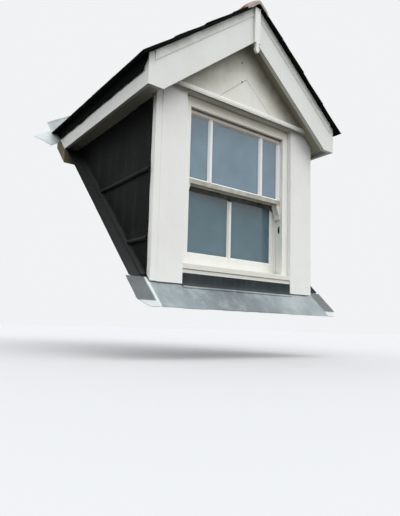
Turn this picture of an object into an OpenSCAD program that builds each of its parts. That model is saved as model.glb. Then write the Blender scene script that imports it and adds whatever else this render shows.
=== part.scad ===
// Slated dormer window with a gable, boxed eaves and a sliding sash window.
// It stands on a pitched roof and is cut off where it meets it.
// The origin lies on the underside of the kerb, below the window.
// The window faces -Y, the roof rises towards +Y, +Z is up, millimetres.

/* [Main roof] */
// Pitch of the main roof that the dormer stands on, degrees
roof_pitch = 43.8; // [40:0.1:48]
// Depth of slates, battens and boards that the kerb passes through
roof_cover = 70; // [50:1:90]
// Depth of the kerb's front member, from the lead to the room
kerb_front_d = 140; // [120:5:170]
// Distance of the origin behind the faces of the pilasters
origin_back = 60; // [40:1:80]

/* [Dormer roof] */
// Pitch of the dormer's own roof, degrees
dormer_pitch = 39.1; // [36:0.1:41]
// Height of the fascias' lower edges above the foot of the pilasters
eaves_z = 970; // [940:1:1000]
// Height of the soffits above the edges of fascias and bargeboards
soffit_rise = 18; // [10:1:24]
// Overhang of the fascias beyond the cheeks
eaves_overhang = 109; // [95:1:140]
// Overhang of the bargeboards in front of the pilasters
verge_overhang = 95; // [80:1:120]
// Thickness of the boards that carry the slates
deck_t = 18; // [12:1:25]
// Thickness of a rafter along the ridge
rafter_t = 50; // [38:1:60]
// Distance between rafters, centre to centre
rafter_pitch = 400; // [350:10:450]
// Thickness of the ridge board
ridge_board_t = 24; // [18:1:32]

/* [Bargeboards and eaves] */
// Width of a bargeboard, square to its edges
barge_w = 170; // [150:1:200]
// Thickness of a bargeboard
barge_t = 25; // [18:1:30]
// Width of the boxed end of a bargeboard
box_w = 89; // [70:1:100]
// Width of the moulding along a bargeboard's top edge
crown_w = 43; // [36:1:60]
// Projection of the moulding's lower part, which ends in a quarter round
crown_t = 9; // [6:1:12]
// Further projection of the moulding's top, above a quarter hollow
crown_cove = 7; // [5:1:10]
// Height of the square lip above that hollow
crown_lip = 7; // [4:1:10]
// Distance of the moulding's end from the end of the bargeboard
crown_stop = 34; // [10:1:50]
// Thickness of a fascia
fascia_t = 20; // [15:1:25]
// Thickness of the soffit boards
soffit_t = 12; // [9:1:18]
// Depth of the felt strip that hangs over a fascia
felt_drop = 55; // [40:1:80]
// Distance of the felt's front end behind the bargeboards
felt_start = 35; // [20:1:60]
// Thickness of that felt strip
felt_t = 3; // [2:1:4]
// Width of the cover strip at the apex
strip_w = 42; // [36:1:56]
// Thickness of the cover strip
strip_t = 16; // [12:1:24]
// Length of the strip's carved end below the bargeboards
drop_len = 76; // [60:1:90]
// Width of the stem of that end
stem_w = 20; // [16:1:26]
// Width of the knob under the stem
knob_w = 30; // [28:1:36]
// Height of the knob, down to its tip
knob_h = 33; // [26:1:40]
// Width of the knob's tip
tip_w = 12; // [8:1:16]

/* [Slates] */
// Exposed length of a course, measured down the slope
slate_gauge = 240; // [200:5:280]
// Thickness of the lapped slates at the edge of a course
slate_t = 20; // [14:1:24]
// How much thinner the lapped slates are at the head of a course
slate_taper = 7; // [3:1:9]
// Overhang of the slates beyond the bargeboard's face
slate_verge = 36; // [25:1:45]
// Overhang of the slates beyond the fascia
slate_eaves = 42; // [30:1:60]
// Length of a ridge tile
ridge_tile_len = 450; // [300:10:500]
// Width of a ridge tile on either side of the ridge line
ridge_tile_w = 95; // [80:1:130]
// Thickness of a ridge tile
ridge_tile_t = 14; // [10:1:18]
// Distance of the first ridge tile in front of the pilasters
ridge_tile_front = 100; // [95:1:125]
// Joint between ridge tiles
ridge_joint = 4; // [3:1:8]

/* [Front] */
// Width over the two pilasters
front_w = 1200; // [1140:10:1300]
// Width of a pilaster, with the edge of the corner board beside it
pilaster_w = 193; // [170:1:210]
// Thickness of a pilaster
pilaster_t = 28; // [22:1:34]
// Width of the edge that a corner board shows beside a pilaster
corner_edge = 36; // [28:1:44]
// Setback of that edge behind the pilaster's face
corner_set = 2; // [1:0.5:4]
// Open joint between the boards of the front
joint_w = 2; // [1:0.5:3]
// Gap between the feet of the boards and the lead
foot_gap = 8; // [4:1:12]
// Depth of a corner post
post_d = 75; // [60:1:90]
// Height of the gable's foot above the foot of the pilasters
gable_z = 1067; // [1055:1:1080]
// Depth of the timber over the window
lintel_h = 100; // [80:1:120]
// Projection of the gable boards in front of the pilasters
gable_proj = 18; // [12:1:22]
// Thickness of the gable boards
gable_t = 20; // [15:1:24]
// Projection of the drip moulding at the gable's foot
moulding_proj = 30; // [27:1:40]
// Height of that moulding
moulding_h = 34; // [30:1:45]
// Thickness of the moulding's flange under the gable boards
flange_t = 12; // [10:1:16]
// Width and depth of the drip groove under it
groove_w = 7; // [5:1:8]
// Width of the sloping gable boards, measured upright
gable_board_drop = 224; // [180:1:240]

/* [Cheeks] */
// Thickness of the cheek boarding and the corner boards
boarding_t = 18; // [15:1:24]
// Depth of the studs, from boarding to lining
stud_d = 90; // [70:1:100]
// Thickness of a stud along the cheek
stud_t = 50; // [38:1:60]
// Distance between studs, centre to centre
stud_pitch = 300; // [260:10:400]
// Thickness of the inner linings
lining_t = 12; // [9:1:18]
// Depth of a corner board behind the pilaster
corner_board_w = 72; // [60:1:90]
// Height of the wall plates
plate_h = 64; // [50:1:75]

/* [Lead] */
// Thickness of the lead sheets
lead_t = 4; // [3:0.5:5]
// Distance of the cheek lead's front edge behind the pilaster's face
lead_front = 36; // [30:1:60]
// Height of the lower lap above the foot of the pilasters
lap_low = 227; // [180:1:300]
// Height of the upper lap above the foot of the pilasters
lap_high = 592; // [500:1:650]
// Overlap of one sheet on the next
lap = 50; // [40:1:70]
// Rise of a sheet's step on to the sheet or flashing below it
lap_step = 8; // [6:1:12]
// Width of a cheek sheet's foot, turned out on to the side flashing
cheek_foot = 24; // [15:1:35]
// Thickness of the welted edges
welt_t = 7; // [5:0.5:9]
// Width of the welts
welt_w = 11; // [8:1:16]
// Upstand of the side flashings, square to the roof
upstand = 75; // [60:1:100]
// Width of the side flashings on the roof
side_flash_w = 100; // [80:5:150]
// Length of the apron down the roof
apron_len = 180; // [150:5:220]
// Reach of the apron beyond the corner boards
apron_side = 120; // [80:5:140]
// Size of the apron's cut-off lower corners
apron_cut = 52; // [30:1:70]
// Reach of the valley lead beyond the slates, measured upright
valley_w = 130; // [100:5:160]
// Reach of the valley lead's tail beyond the slates' eaves edge
tail_len = 152; // [100:1:180]
// Width of that tail, square to the valley
tail_w = 127; // [100:1:140]
// Reach of the tail's outer edge beyond the slates, measured upright
tail_side = 28; // [15:1:50]
// Width of the saddle at the head of the valleys, each way from the ridge line
saddle_w = 150; // [120:5:200]
// Lap of the saddle over the last ridge tile
saddle_lap = 90; // [70:5:120]

/* [Window frame] */
// Height of the underside of the window head
head_z = 1008; // [990:1:1020]
// Height of the sill's underside above the foot of the pilasters
sill_z = 76; // [60:1:90]
// Height of the sill's nose, from its drip to its top edge
nose_h = 32; // [24:1:40]
// Height of the sill below its nose
sill_foot_h = 20; // [12:1:28]
// Setback of the sill's foot behind its nose
sill_foot_set = 6; // [4:1:9]
// Fall of the sill's top, degrees
sill_fall = 7; // [5:0.5:9]
// Width of the clear opening between the outer linings
opening_w = 724; // [700:2:740]
// Cover of the outer linings over the sashes
lining_cover = 16; // [12:1:18]
// Thickness of the outer linings
outer_lining_t = 24; // [18:1:28]
// Thickness of the pulley stiles
pulley_t = 20; // [16:1:24]
// Thickness of a sash
sash_t = 45; // [40:1:50]
// Thickness of the parting bead
bead_t = 10; // [8:1:12]
// Projection of the parting bead
bead_proj = 12; // [9:1:14]
// Thickness of the frame's inner linings
inner_lining_t = 18; // [15:1:22]
// Depth of the rebate in the head that takes the top sash
head_rebate = 4; // [2:1:6]
// Width of the window board behind the frame
board_w = 65; // [50:1:90]
// Height of the middle of the slots in the pulley stiles
slot_z = 425; // [380:1:460]
// Length of a slot
slot_len = 50; // [36:1:56]
// Width of a slot
slot_w = 24; // [14:1:24]
// Distance of a slot's middle behind the face of the top sash
slot_set = 15; // [13:1:24]

/* [Sashes] */
// Width of a stile
stile_w = 42; // [38:1:48]
// Height of the top rail
top_rail_h = 36; // [32:1:44]
// Height of the upper edge of the meeting rails
meeting_z = 618; // [580:1:640]
// Height of the top sash's meeting rail
top_meeting_h = 35; // [30:1:42]
// Height of the bottom sash's meeting rail
low_meeting_h = 60; // [45:1:65]
// Height of the lower edge of the bottom sash's glass
low_glass_z = 210; // [195:1:230]
// Width of a glazing bar
bar_w = 34; // [28:1:38]
// Distance of the top sash's bars from the middle
bar_x = 198; // [180:1:215]
// Depth of the putty bevel in front of the glass
bevel_d = 12; // [9:1:14]
// Width of the putty bevel
bevel_w = 10; // [7:1:11]
// Thickness of the glass
glass_t = 4; // [3:0.5:6]
// Depth of the groove that holds the glass
groove_d = 8; // [6:1:9]
// Length of the horns below the top sash's meeting rail
horn_len = 95; // [60:1:110]
// Width of a horn's tip
horn_tip = 18; // [14:1:24]
// Splay of the faces where the two meeting rails wedge together
splay = 2; // [1:0.5:3]

/* [Hidden] */
$fn = 48;

// Clearance between pieces that are fitted loosely
gap = 0.3;
// A length that reaches past the whole dormer
reach = 2600;
// Straight steps in the curve of a horn and in a quarter circle
curve_steps = 12;
arc_steps = 6;

// Tangents and cosines of the two pitches, and the slant of the valleys on the main roof
roof_tan = tan(roof_pitch);
roof_cos = cos(roof_pitch);
dormer_tan = tan(dormer_pitch);
dormer_cos = cos(dormer_pitch);
valley_slant = atan(dormer_tan / sin(roof_pitch));

// Places across the dormer, measured from its middle
face_x = front_w / 2;
board_x = face_x - boarding_t;
room_x = board_x - stud_d - lining_t;
edge_x = face_x - corner_edge;
pilaster_x = face_x - pilaster_w;
fascia_x = face_x + eaves_overhang;
box_x = fascia_x - box_w;
slate_x = fascia_x + slate_eaves;

// Heights where the layers of the roof would meet above the middle
barge_low = eaves_z + box_x * dormer_tan;
verge_low = barge_low + soffit_rise;
rafter_low = verge_low + soffit_t / dormer_cos;
ceiling_low = rafter_low - lining_t / dormer_cos;
deck_top = barge_low + barge_w / dormer_cos;
deck_low = deck_top - deck_t / dormer_cos;
slate_top = deck_top + slate_t / dormer_cos;
ridge_top = slate_top + ridge_tile_t / dormer_cos;

// Other heights
soffit_z = eaves_z + soffit_rise;
soffit_top = soffit_z + soffit_t;
plate_top = soffit_top + plate_h;
flange_top = gable_z + flange_t;
infill_top = verge_low - gable_board_drop;

// Depths through the front, measured back from the pilasters' faces
frame_y = pilaster_t;
post_back = frame_y + post_d;
top_sash_y = frame_y + outer_lining_t;
bead_y = top_sash_y + sash_t;
low_sash_y = bead_y + bead_t;
staff_y = low_sash_y + sash_t;
frame_back = staff_y + inner_lining_t;
barge_y = -verge_overhang;
ladder_y = barge_y + barge_t;
kerb_y = sill_foot_set + lead_t;
gable_face = -gable_proj;
gable_back = gable_face + gable_t;

// Window sizes
opening_x = opening_w / 2;
sash_x = opening_x + lining_cover;
sight_x = sash_x - stile_w;
bead_x = sash_x - bead_proj;
sash_top = head_z + head_rebate - gap;
meeting_low = meeting_z - top_meeting_h;
nose_z = sill_z + sill_foot_h;

function slope_z(top, x) = top - abs(x) * dormer_tan;
function roof_z(y) = y * roof_tan;
function roof_y(z) = z / roof_tan;
function kerb_z(y) = roof_z(y) - roof_cover / roof_cos;
function valley_y(top, x) = roof_y(slope_z(top, x));
function sill_top(y) = nose_z + nose_h + y * tan(sill_fall);
function mirrored(points) = [for (i = [len(points) - 1:-1:0]) [-points[i][0], points[i][1]]];
// A point on the dormer roof: distance down the slope and height above the deck
function on_deck(down, up) = [down * dormer_cos + up * sin(dormer_pitch),
    deck_top - down * sin(dormer_pitch) + up * dormer_cos];
// A point of a valley as it lies on the main roof: place across, and distance up the slope
function in_valley(top, x) = [x, valley_y(top, x) / roof_cos];

// Moves the finished pieces so that the origin lies on the kerb's underside
module placed() {
    translate([0, -origin_back, -kerb_z(origin_back)]) children();
}

// Extrudes an outline drawn in X and Z along Y
module along_y(y0, y1) {
    translate([0, y1, 0]) rotate([90, 0, 0]) linear_extrude(y1 - y0) children();
}

// Extrudes an outline drawn in Y and Z along X
module along_x(x0, x1) {
    translate([x0, 0, 0]) rotate([90, 0, 90]) linear_extrude(x1 - x0) children();
}

// Runs a moulding down the right-hand slope; its outline is drawn in depth below the deck and Y
module along_slope(x0, x1) {
    intersection() {
        translate([0, 0, deck_top]) rotate([0, 90 + dormer_pitch, 0])
            translate([0, 0, -crown_w]) linear_extrude(reach) children();
        translate([x0, -reach, 0]) cube([x1 - x0, reach, reach]);
    }
}

// Lays a sheet on the main roof; its outline is drawn in X and distance up the slope
module on_roof(low, high) {
    rotate([roof_pitch, 0, 0]) translate([0, 0, low]) linear_extrude(high - low) children();
}

module left_side() {
    mirror([1, 0, 0]) children();
}

module both_sides() {
    children();
    left_side() children();
}

// Cuts a piece off where it meets the main roof
module above_roof(lift = 0) {
    intersection() {
        children();
        rotate([roof_pitch, 0, 0])
            translate([-reach, -reach, lift])
                cube([2 * reach, 3 * reach, 2 * reach]);
    }
}

// Outline of a board that follows the roof on the right-hand side
module slope_band(low, high, x0, x1) {
    polygon([[x0, slope_z(low, x0)], [x1, slope_z(low, x1)],
        [x1, slope_z(high, x1)], [x0, slope_z(high, x0)]]);
}

// Outline of the gable, from a level up to a slope
module gable_outline(low, top, half) {
    intersection() {
        polygon([[-reach, slope_z(top, reach)], [reach, slope_z(top, reach)], [0, top]]);
        translate([-half, low]) square([2 * half, 2 * reach]);
    }
}

// Framing

// Ring of timber on the main roof: front, sides and valley boards
module kerb_frame() {
    valley_foot = roof_y(eaves_z);
    room_front = kerb_y + kerb_front_d;
    side = [[fascia_x, valley_y(deck_top, fascia_x)], [fascia_x, valley_foot],
        [face_x, valley_foot], [face_x, kerb_y]];
    room_side = [[room_x, valley_y(ceiling_low, room_x)], [room_x, room_front]];
    color("tan") placed() difference() {
        union() {
            kerb_layer() difference() {
                polygon(concat([[0, valley_y(deck_top, 0)]], side, mirrored(side)));
                polygon(concat([[0, valley_y(ceiling_low, 0)]], room_side, mirrored(room_side)));
            }
            kerb_front(pilaster_x, kerb_y, frame_y);
            kerb_front(room_x, frame_y, room_front);
        }
        translate([-room_x, frame_y, sill_z]) cube([2 * room_x, frame_back, reach]);
    }
}

// Keeps the layer between the kerb's underside and the face of the main roof's slates
module kerb_layer() {
    intersection() {
        translate([0, 0, -reach]) linear_extrude(3 * reach) children();
        rotate([roof_pitch, 0, 0])
            translate([-reach, -reach, -roof_cover])
                cube([2 * reach, 3 * reach, roof_cover]);
    }
}

module kerb_front(half, y0, y1) {
    along_x(-half, half) polygon([[y0, kerb_z(y0)], [y1, kerb_z(y1)], [y1, sill_z], [y0, sill_z]]);
}

module corner_post() {
    color("tan") placed() above_roof() along_y(frame_y, post_back)
        polygon([[room_x, 0], [board_x, 0],
            [board_x, slope_z(rafter_low, board_x)], [room_x, slope_z(rafter_low, room_x)]]);
}

module wall_plates() {
    color("tan") placed() both_sides() above_roof() along_y(post_back, reach)
        translate([room_x + lining_t, soffit_top]) square([stud_d, plate_h]);
}

module cheek_studs() {
    first = post_back + stud_pitch - stud_t;
    last = roof_y(soffit_top) - 2 * stud_t;
    color("tan") placed() both_sides() above_roof()
        for (y = [first:stud_pitch:last])
            translate([room_x + lining_t, y, 0]) cube([stud_d, stud_t, soffit_top]);
}

module lintel() {
    color("tan") placed() along_y(frame_y, post_back) intersection() {
        gable_outline(gable_z, rafter_low, room_x);
        translate([-room_x, gable_z]) square([2 * room_x, lintel_h]);
    }
}

// Upright between the lintel and the ridge board
module gable_stud() {
    foot = gable_z + lintel_h;
    head = slope_z(rafter_low, ridge_board_t / 2) - stud_t;
    color("tan") placed() along_y(frame_y, post_back)
        translate([-stud_t / 2, foot]) square([stud_t, head - foot]);
}

module rafter_outline() {
    tail_x = fascia_x - fascia_t;
    cut_x = (rafter_low - soffit_top) / dormer_tan;
    inner = ridge_board_t / 2;
    polygon([[inner, slope_z(rafter_low, inner)], [cut_x, soffit_top], [tail_x, soffit_top],
        [tail_x, slope_z(deck_low, tail_x)], [inner, slope_z(deck_low, inner)]]);
}

module rafters() {
    color("tan") placed() both_sides() above_roof() {
        along_y(ladder_y, ladder_y + rafter_t) rafter_outline();
        along_y(frame_y, frame_y + rafter_t) rafter_outline();
        for (y = [frame_y + rafter_pitch:rafter_pitch:valley_y(deck_low, 0) - rafter_pitch])
            along_y(y, y + rafter_t) difference() {
                rafter_outline();
                translate([room_x, soffit_top]) square([board_x - room_x, plate_h]);
            }
    }
}

// Board under the ridge; in front of the gable its lower edge rests on the soffits
module ridge_board() {
    half = ridge_board_t / 2;
    low = slope_z(rafter_low, half);
    high = slope_z(deck_low, half);
    top = [[half, high], [0, deck_low], [-half, high]];
    color("tan") placed() above_roof() {
        along_y(ladder_y, frame_y) polygon(concat([[-half, low], [0, rafter_low], [half, low]], top));
        along_y(frame_y, reach) polygon(concat([[-half, low - stud_t], [half, low - stud_t]], top));
    }
}

// Cheeks and corners

module cheek_boarding() {
    color("wheat") placed() above_roof() along_y(frame_y + corner_board_w, reach)
        translate([board_x, 0]) square([boarding_t, slope_z(rafter_low, face_x)]);
}

module cheek_lining() {
    color("ivory") placed() above_roof() along_y(post_back, reach)
        slope_wall(room_x, room_x + lining_t, rafter_low);
}

// Outline of an upright board that ends under the roof
module slope_wall(x0, x1, top) {
    polygon([[x0, 0], [x1, 0], [x1, slope_z(top, x1)], [x0, slope_z(top, x0)]]);
}

// Boards rebated round the corners: a broad face to the side, a narrow edge to the front
module corner_boards() {
    color("white") placed() both_sides() above_roof(lead_t + foot_gap) {
        along_y(corner_set, frame_y + corner_board_w) slope_wall(board_x, face_x, verge_low);
        along_y(corner_set, frame_y) slope_wall(edge_x, face_x, verge_low);
    }
}

module pilaster() {
    color("white") placed() above_roof(lead_t + foot_gap) along_y(0, frame_y) intersection() {
        translate([pilaster_x, 0]) square([edge_x - joint_w - pilaster_x, gable_z]);
        gable_outline(0, verge_low, face_x);
    }
}

// Window

// Level section of the frame's box, from the opening outwards
module jamb_outline() {
    stile_back = sash_x + pulley_t;
    difference() {
        polygon([[opening_x, frame_y], [room_x, frame_y], [room_x, frame_back],
            [opening_x, frame_back], [opening_x, staff_y], [sash_x, staff_y], [sash_x, low_sash_y],
            [bead_x, low_sash_y], [bead_x, bead_y], [sash_x, bead_y], [sash_x, top_sash_y],
            [opening_x, top_sash_y]]);
        translate([stile_back, top_sash_y])
            square([room_x - lining_t - stile_back, staff_y - top_sash_y]);
    }
}

module head_outline() {
    soffit = head_z + head_rebate;
    polygon([[frame_y, head_z], [top_sash_y, head_z], [top_sash_y, soffit], [bead_y, soffit],
        [bead_y, soffit - bead_proj], [low_sash_y, soffit - bead_proj], [low_sash_y, soffit],
        [staff_y, soffit], [staff_y, head_z - lining_cover], [frame_back, head_z - lining_cover],
        [frame_back, gable_z], [staff_y, gable_z], [staff_y, soffit + pulley_t],
        [top_sash_y, soffit + pulley_t], [top_sash_y, gable_z], [frame_y, gable_z]]);
}

// Round-ended slot through a pulley stile, in the track of the top sash
module slot_outline() {
    straight = slot_len - slot_w;
    translate([top_sash_y + slot_set, slot_z]) {
        square([slot_w, straight], center = true);
        for (z = [-straight / 2, straight / 2])
            translate([0, z]) circle(d = slot_w);
    }
}

module window_frame() {
    color("cornsilk") placed() difference() {
        union() {
            both_sides() translate([0, 0, sill_z]) linear_extrude(gable_z - sill_z) jamb_outline();
            along_x(-room_x, room_x) head_outline();
        }
        sill_body(reach);
        both_sides() along_x(sash_x - gap, sash_x + pulley_t + gap) slot_outline();
    }
}

module sill_outline(back) {
    round_off = sill_foot_set / 2;
    polygon([[sill_foot_set, sill_z], [back, sill_z], [back, sill_top(back)],
        [sill_foot_set, sill_top(sill_foot_set)], [0, sill_top(0) - round_off],
        [0, nose_z + round_off], [round_off, nose_z], [sill_foot_set, nose_z]]);
}

// The sill, and with depth to spare the room that the frame leaves for it
module sill_body(back) {
    along_x(-room_x, room_x) intersection() {
        sill_outline(back);
        translate([frame_y, -reach]) square(2 * reach);
    }
    along_x(-pilaster_x, pilaster_x) intersection() {
        sill_outline(back);
        translate([-reach, -reach]) square([reach + frame_y, 2 * reach]);
    }
}

module window_sill() {
    color("cornsilk") placed() sill_body(frame_back);
}

module window_board() {
    color("ivory") placed()
        translate([-room_x, frame_back, sill_top(frame_back) - lining_t])
            cube([2 * room_x, board_w, lining_t]);
}

// Section of a stile or rail: from the sight line outwards, with bevel and groove
module sash_section(width) {
    polygon([[bevel_w, 0], [width, 0], [width, sash_t], [groove_d, sash_t], [0, sash_t - bevel_w],
        [0, bevel_d + glass_t + gap], [groove_d, bevel_d + glass_t + gap],
        [groove_d, bevel_d - gap], [0, bevel_d - gap]]);
}

module stile(z0, z1) {
    translate([sight_x, 0, z0]) linear_extrude(z1 - z0) sash_section(stile_w - gap);
}

// A rail above the glass; turned over, one below it
module rail(height) {
    rotate([90, 0, 90]) translate([0, 0, -sash_x + gap]) linear_extrude(2 * (sash_x - gap))
        mirror([1, -1]) sash_section(height);
}

// Glazing bar: both edges have the bevel, the groove and the chamfer
module bar(z0, z1) {
    half = bar_w / 2;
    side = [[half - bevel_w, 0], [half, bevel_d - gap], [half - groove_d, bevel_d - gap],
        [half - groove_d, bevel_d + glass_t + gap], [half, bevel_d + glass_t + gap],
        [half, sash_t - bevel_w], [half - groove_d, sash_t]];
    translate([0, 0, z0]) linear_extrude(z1 - z0) polygon(concat(side, mirrored(side)));
}

// Splayed block on a meeting rail, which runs between the parting beads
module meeting_block(root, low_y, high_y) {
    half = bead_x - gap;
    along_x(-half, half)
        polygon([[root, meeting_low], [low_y, meeting_low], [high_y, meeting_z], [root, meeting_z]]);
}

// Curved horn below the meeting rail, drawn from its root downwards
module horn() {
    cut = stile_w - gap - horn_tip;
    curve = [for (i = [0:curve_steps]) let (part = i / curve_steps)
        [cut * (1 - cos(180 * part)) / 2, -horn_len * part]];
    translate([sight_x, 0, 0]) along_y(0, sash_t)
        polygon(concat(curve, [[stile_w - gap, -horn_len], [stile_w - gap, 0]]));
}

module top_sash() {
    high = sash_top - top_rail_h;
    wedge = sash_t + bead_t / 2;
    color("cornsilk") placed() translate([0, top_sash_y, 0]) {
        both_sides() {
            stile(meeting_low, sash_top);
            translate([0, 0, meeting_low]) horn();
            translate([bar_x, 0, 0]) bar(meeting_z - groove_d, high + groove_d);
        }
        translate([0, 0, high]) rail(top_rail_h);
        translate([0, 0, meeting_z]) mirror([0, 0, 1]) rail(top_meeting_h);
        meeting_block(sash_t - bevel_w, wedge + splay, wedge - splay);
    }
}

module bottom_sash() {
    high = meeting_z - low_meeting_h;
    low = sill_top(low_sash_y);
    wedge = gap - bead_t / 2;
    color("cornsilk") placed() difference() {
        translate([0, low_sash_y, 0]) {
            both_sides() stile(low, meeting_z);
            bar(low_glass_z - groove_d, high + groove_d);
            translate([0, 0, high]) rail(low_meeting_h);
            translate([0, 0, low_glass_z]) mirror([0, 0, 1]) rail(low_glass_z - low);
            meeting_block(bevel_d, wedge + splay, wedge - splay);
        }
        translate([0, 0, gap]) sill_body(reach);
    }
}

module pane(x0, x1, y, z0, z1) {
    edge = groove_d - gap;
    translate([x0 - edge, y + bevel_d, z0 - edge])
        cube([x1 - x0 + 2 * edge, glass_t, z1 - z0 + 2 * edge]);
}

module top_panes() {
    high = sash_top - top_rail_h;
    inner = bar_x - bar_w / 2;
    outer = bar_x + bar_w / 2;
    color("lightsteelblue") placed() {
        pane(-inner, inner, top_sash_y, meeting_z, high);
        both_sides() pane(outer, sight_x, top_sash_y, meeting_z, high);
    }
}

module bottom_panes() {
    color("lightsteelblue") placed() both_sides()
        pane(bar_w / 2, sight_x, low_sash_y, low_glass_z, meeting_z - low_meeting_h);
}

// Gable

module gable_sheathing() {
    color("wheat") placed() along_y(gable_back, frame_y) gable_outline(flange_top, verge_low, face_x);
}

// Two sloping boards that meet in a tight joint above the infill
module gable_boards() {
    color("white") placed() both_sides() along_y(gable_face, gable_back) intersection() {
        difference() {
            gable_outline(flange_top, verge_low, face_x);
            gable_outline(0, infill_top, reach);
        }
        translate([gap, 0]) square(reach);
    }
}

module gable_infill() {
    top = infill_top - joint_w / dormer_cos;
    color("white") placed() along_y(gable_face, gable_back) gable_outline(flange_top, top, face_x);
}

// Drip moulding with a rounded top, a flange under the boards and a groove below
module moulding_outline() {
    lip = moulding_proj - gable_proj;
    difference() {
        union() {
            translate([-moulding_proj, gable_z]) square([moulding_proj + frame_y, flange_t]);
            translate([-moulding_proj, gable_z]) square([lip, moulding_h - lip]);
            intersection() {
                translate([gable_face, gable_z + moulding_h - lip]) circle(lip);
                translate([-moulding_proj, gable_z]) square([lip, moulding_h]);
            }
        }
        translate([groove_w - moulding_proj, gable_z - gap]) square([groove_w, groove_w + gap]);
    }
}

module gable_moulding() {
    color("white") placed() intersection() {
        along_x(-face_x, face_x) moulding_outline();
        along_y(-moulding_proj, frame_y) gable_outline(gable_z, verge_low, face_x);
    }
}

// Roof

module roof_deck() {
    color("wheat") placed() above_roof() along_y(ladder_y, reach) slope_band(deck_low, deck_top, 0, fascia_x);
}

module ceiling() {
    color("ivory") placed() above_roof() along_y(post_back, reach)
        slope_band(ceiling_low, rafter_low, ridge_board_t / 2, room_x);
}

module verge_soffits() {
    color("white") placed() both_sides() along_y(ladder_y, frame_y)
        slope_band(verge_low, rafter_low, gap / 2, box_x);
}

module eaves_soffit() {
    inner = fascia_x - fascia_t;
    color("white") placed() above_roof() {
        translate([box_x, ladder_y, soffit_z]) cube([inner - box_x, frame_y - ladder_y, soffit_t]);
        translate([face_x, frame_y, soffit_z]) cube([inner - face_x, reach, soffit_t]);
    }
}

module fascia() {
    inner = fascia_x - fascia_t;
    color("white") placed() above_roof() along_y(ladder_y, reach)
        polygon([[inner, eaves_z], [fascia_x, eaves_z], [fascia_x, slope_z(deck_low, fascia_x)],
            [inner, slope_z(deck_low, inner)]]);
}

// Points along a quarter of a circle, from a start angle
function quarter(middle, radius, start) = [for (i = [0:arc_steps]) let (turn = start + 90 * i / arc_steps)
    middle + radius * [cos(turn), sin(turn)]];

// Section of the moulding on a bargeboard: lip, quarter hollow, flat and quarter round
module crown_outline() {
    hollow = quarter([crown_lip + crown_cove, barge_y - crown_t - crown_cove], crown_cove, 90);
    nose = quarter([crown_w - crown_t, barge_y], crown_t, -90);
    top_y = barge_y - crown_t - crown_cove;
    back_y = barge_y + gap;
    polygon(concat([[gap, back_y], [gap, top_y]], [for (i = [arc_steps:-1:0]) hollow[i]], nose,
        [[crown_w, back_y]]));
}

// Board with a boxed end, mitred at the apex
module bargeboard() {
    color("white") placed() {
        along_y(barge_y, ladder_y)
            polygon([[0, barge_low], [box_x, eaves_z], [fascia_x, eaves_z],
                [fascia_x, slope_z(deck_top, fascia_x)], [0, deck_top]]);
        along_slope(strip_w / 2, fascia_x - crown_stop) crown_outline();
    }
}

// Strip over the mitre, carved below it into a stem and a knob
module apex_strip() {
    half = strip_w / 2;
    shoulder = slope_z(barge_low, half);
    tip_z = barge_low - drop_len;
    knob_z = tip_z + knob_h;
    side = [[half, slope_z(deck_top, half)], [half, shoulder], [stem_w / 2, shoulder],
        [stem_w / 2, knob_z], [knob_w / 2, knob_z - (knob_w - stem_w) / 2],
        [knob_w / 2, tip_z + knob_h / 2], [tip_w / 2, tip_z]];
    color("white") placed() along_y(barge_y - strip_t, barge_y) polygon(concat(side, mirrored(side)));
}

module eaves_felts() {
    outer = fascia_x + felt_t;
    high = slope_z(deck_top, outer);
    color("dimgray") placed() both_sides() above_roof() along_y(ladder_y + felt_start, reach)
        translate([fascia_x, high - felt_drop]) square([felt_t, felt_drop]);
}

// Saw-toothed outline of the lapped courses, each a wedge on the one below
module slate_outline() {
    eaves_down = slate_x / dormer_cos;
    courses = floor(eaves_down / slate_gauge);
    teeth = [for (i = [0:courses]) each [
        on_deck(eaves_down - i * slate_gauge, i == 0 ? 0 : slate_t - slate_taper),
        on_deck(eaves_down - i * slate_gauge, slate_t)]];
    intersection() {
        polygon(concat([on_deck(0, 0)], teeth, [on_deck(0, slate_t - slate_taper), [0, slate_top]]));
        translate([0, -reach]) square(2 * reach);
    }
}

module slates() {
    color("slategray") placed() above_roof(lead_t + gap) along_y(barge_y - slate_verge, reach) slate_outline();
}

module ridge_tiles() {
    step = ridge_tile_len + ridge_joint;
    last = valley_y(ridge_top, 0);
    color("indianred") placed() above_roof(lead_t + gap)
        for (y = [-ridge_tile_front:step:last])
            along_y(y, y + ridge_tile_len) ridge_cover(slate_top, ridge_tile_t, ridge_tile_w);
}

// Outline of an angled cover of even thickness on a ridge
module ridge_cover(under, thickness, half) {
    intersection() {
        difference() {
            gable_outline(0, under + thickness / dormer_cos, half);
            gable_outline(-reach, under, reach);
        }
        translate([-reach, 0]) square(2 * reach);
    }
}

// Lead

// Outline on the cheek between two levels, clear of the roof by a margin
module cheek_zone(low, high, margin) {
    intersection() {
        rotate(roof_pitch) translate([-reach, margin]) square([3 * reach, 2 * reach]);
        translate([lead_front, low]) square([reach, high - low]);
    }
}

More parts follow.
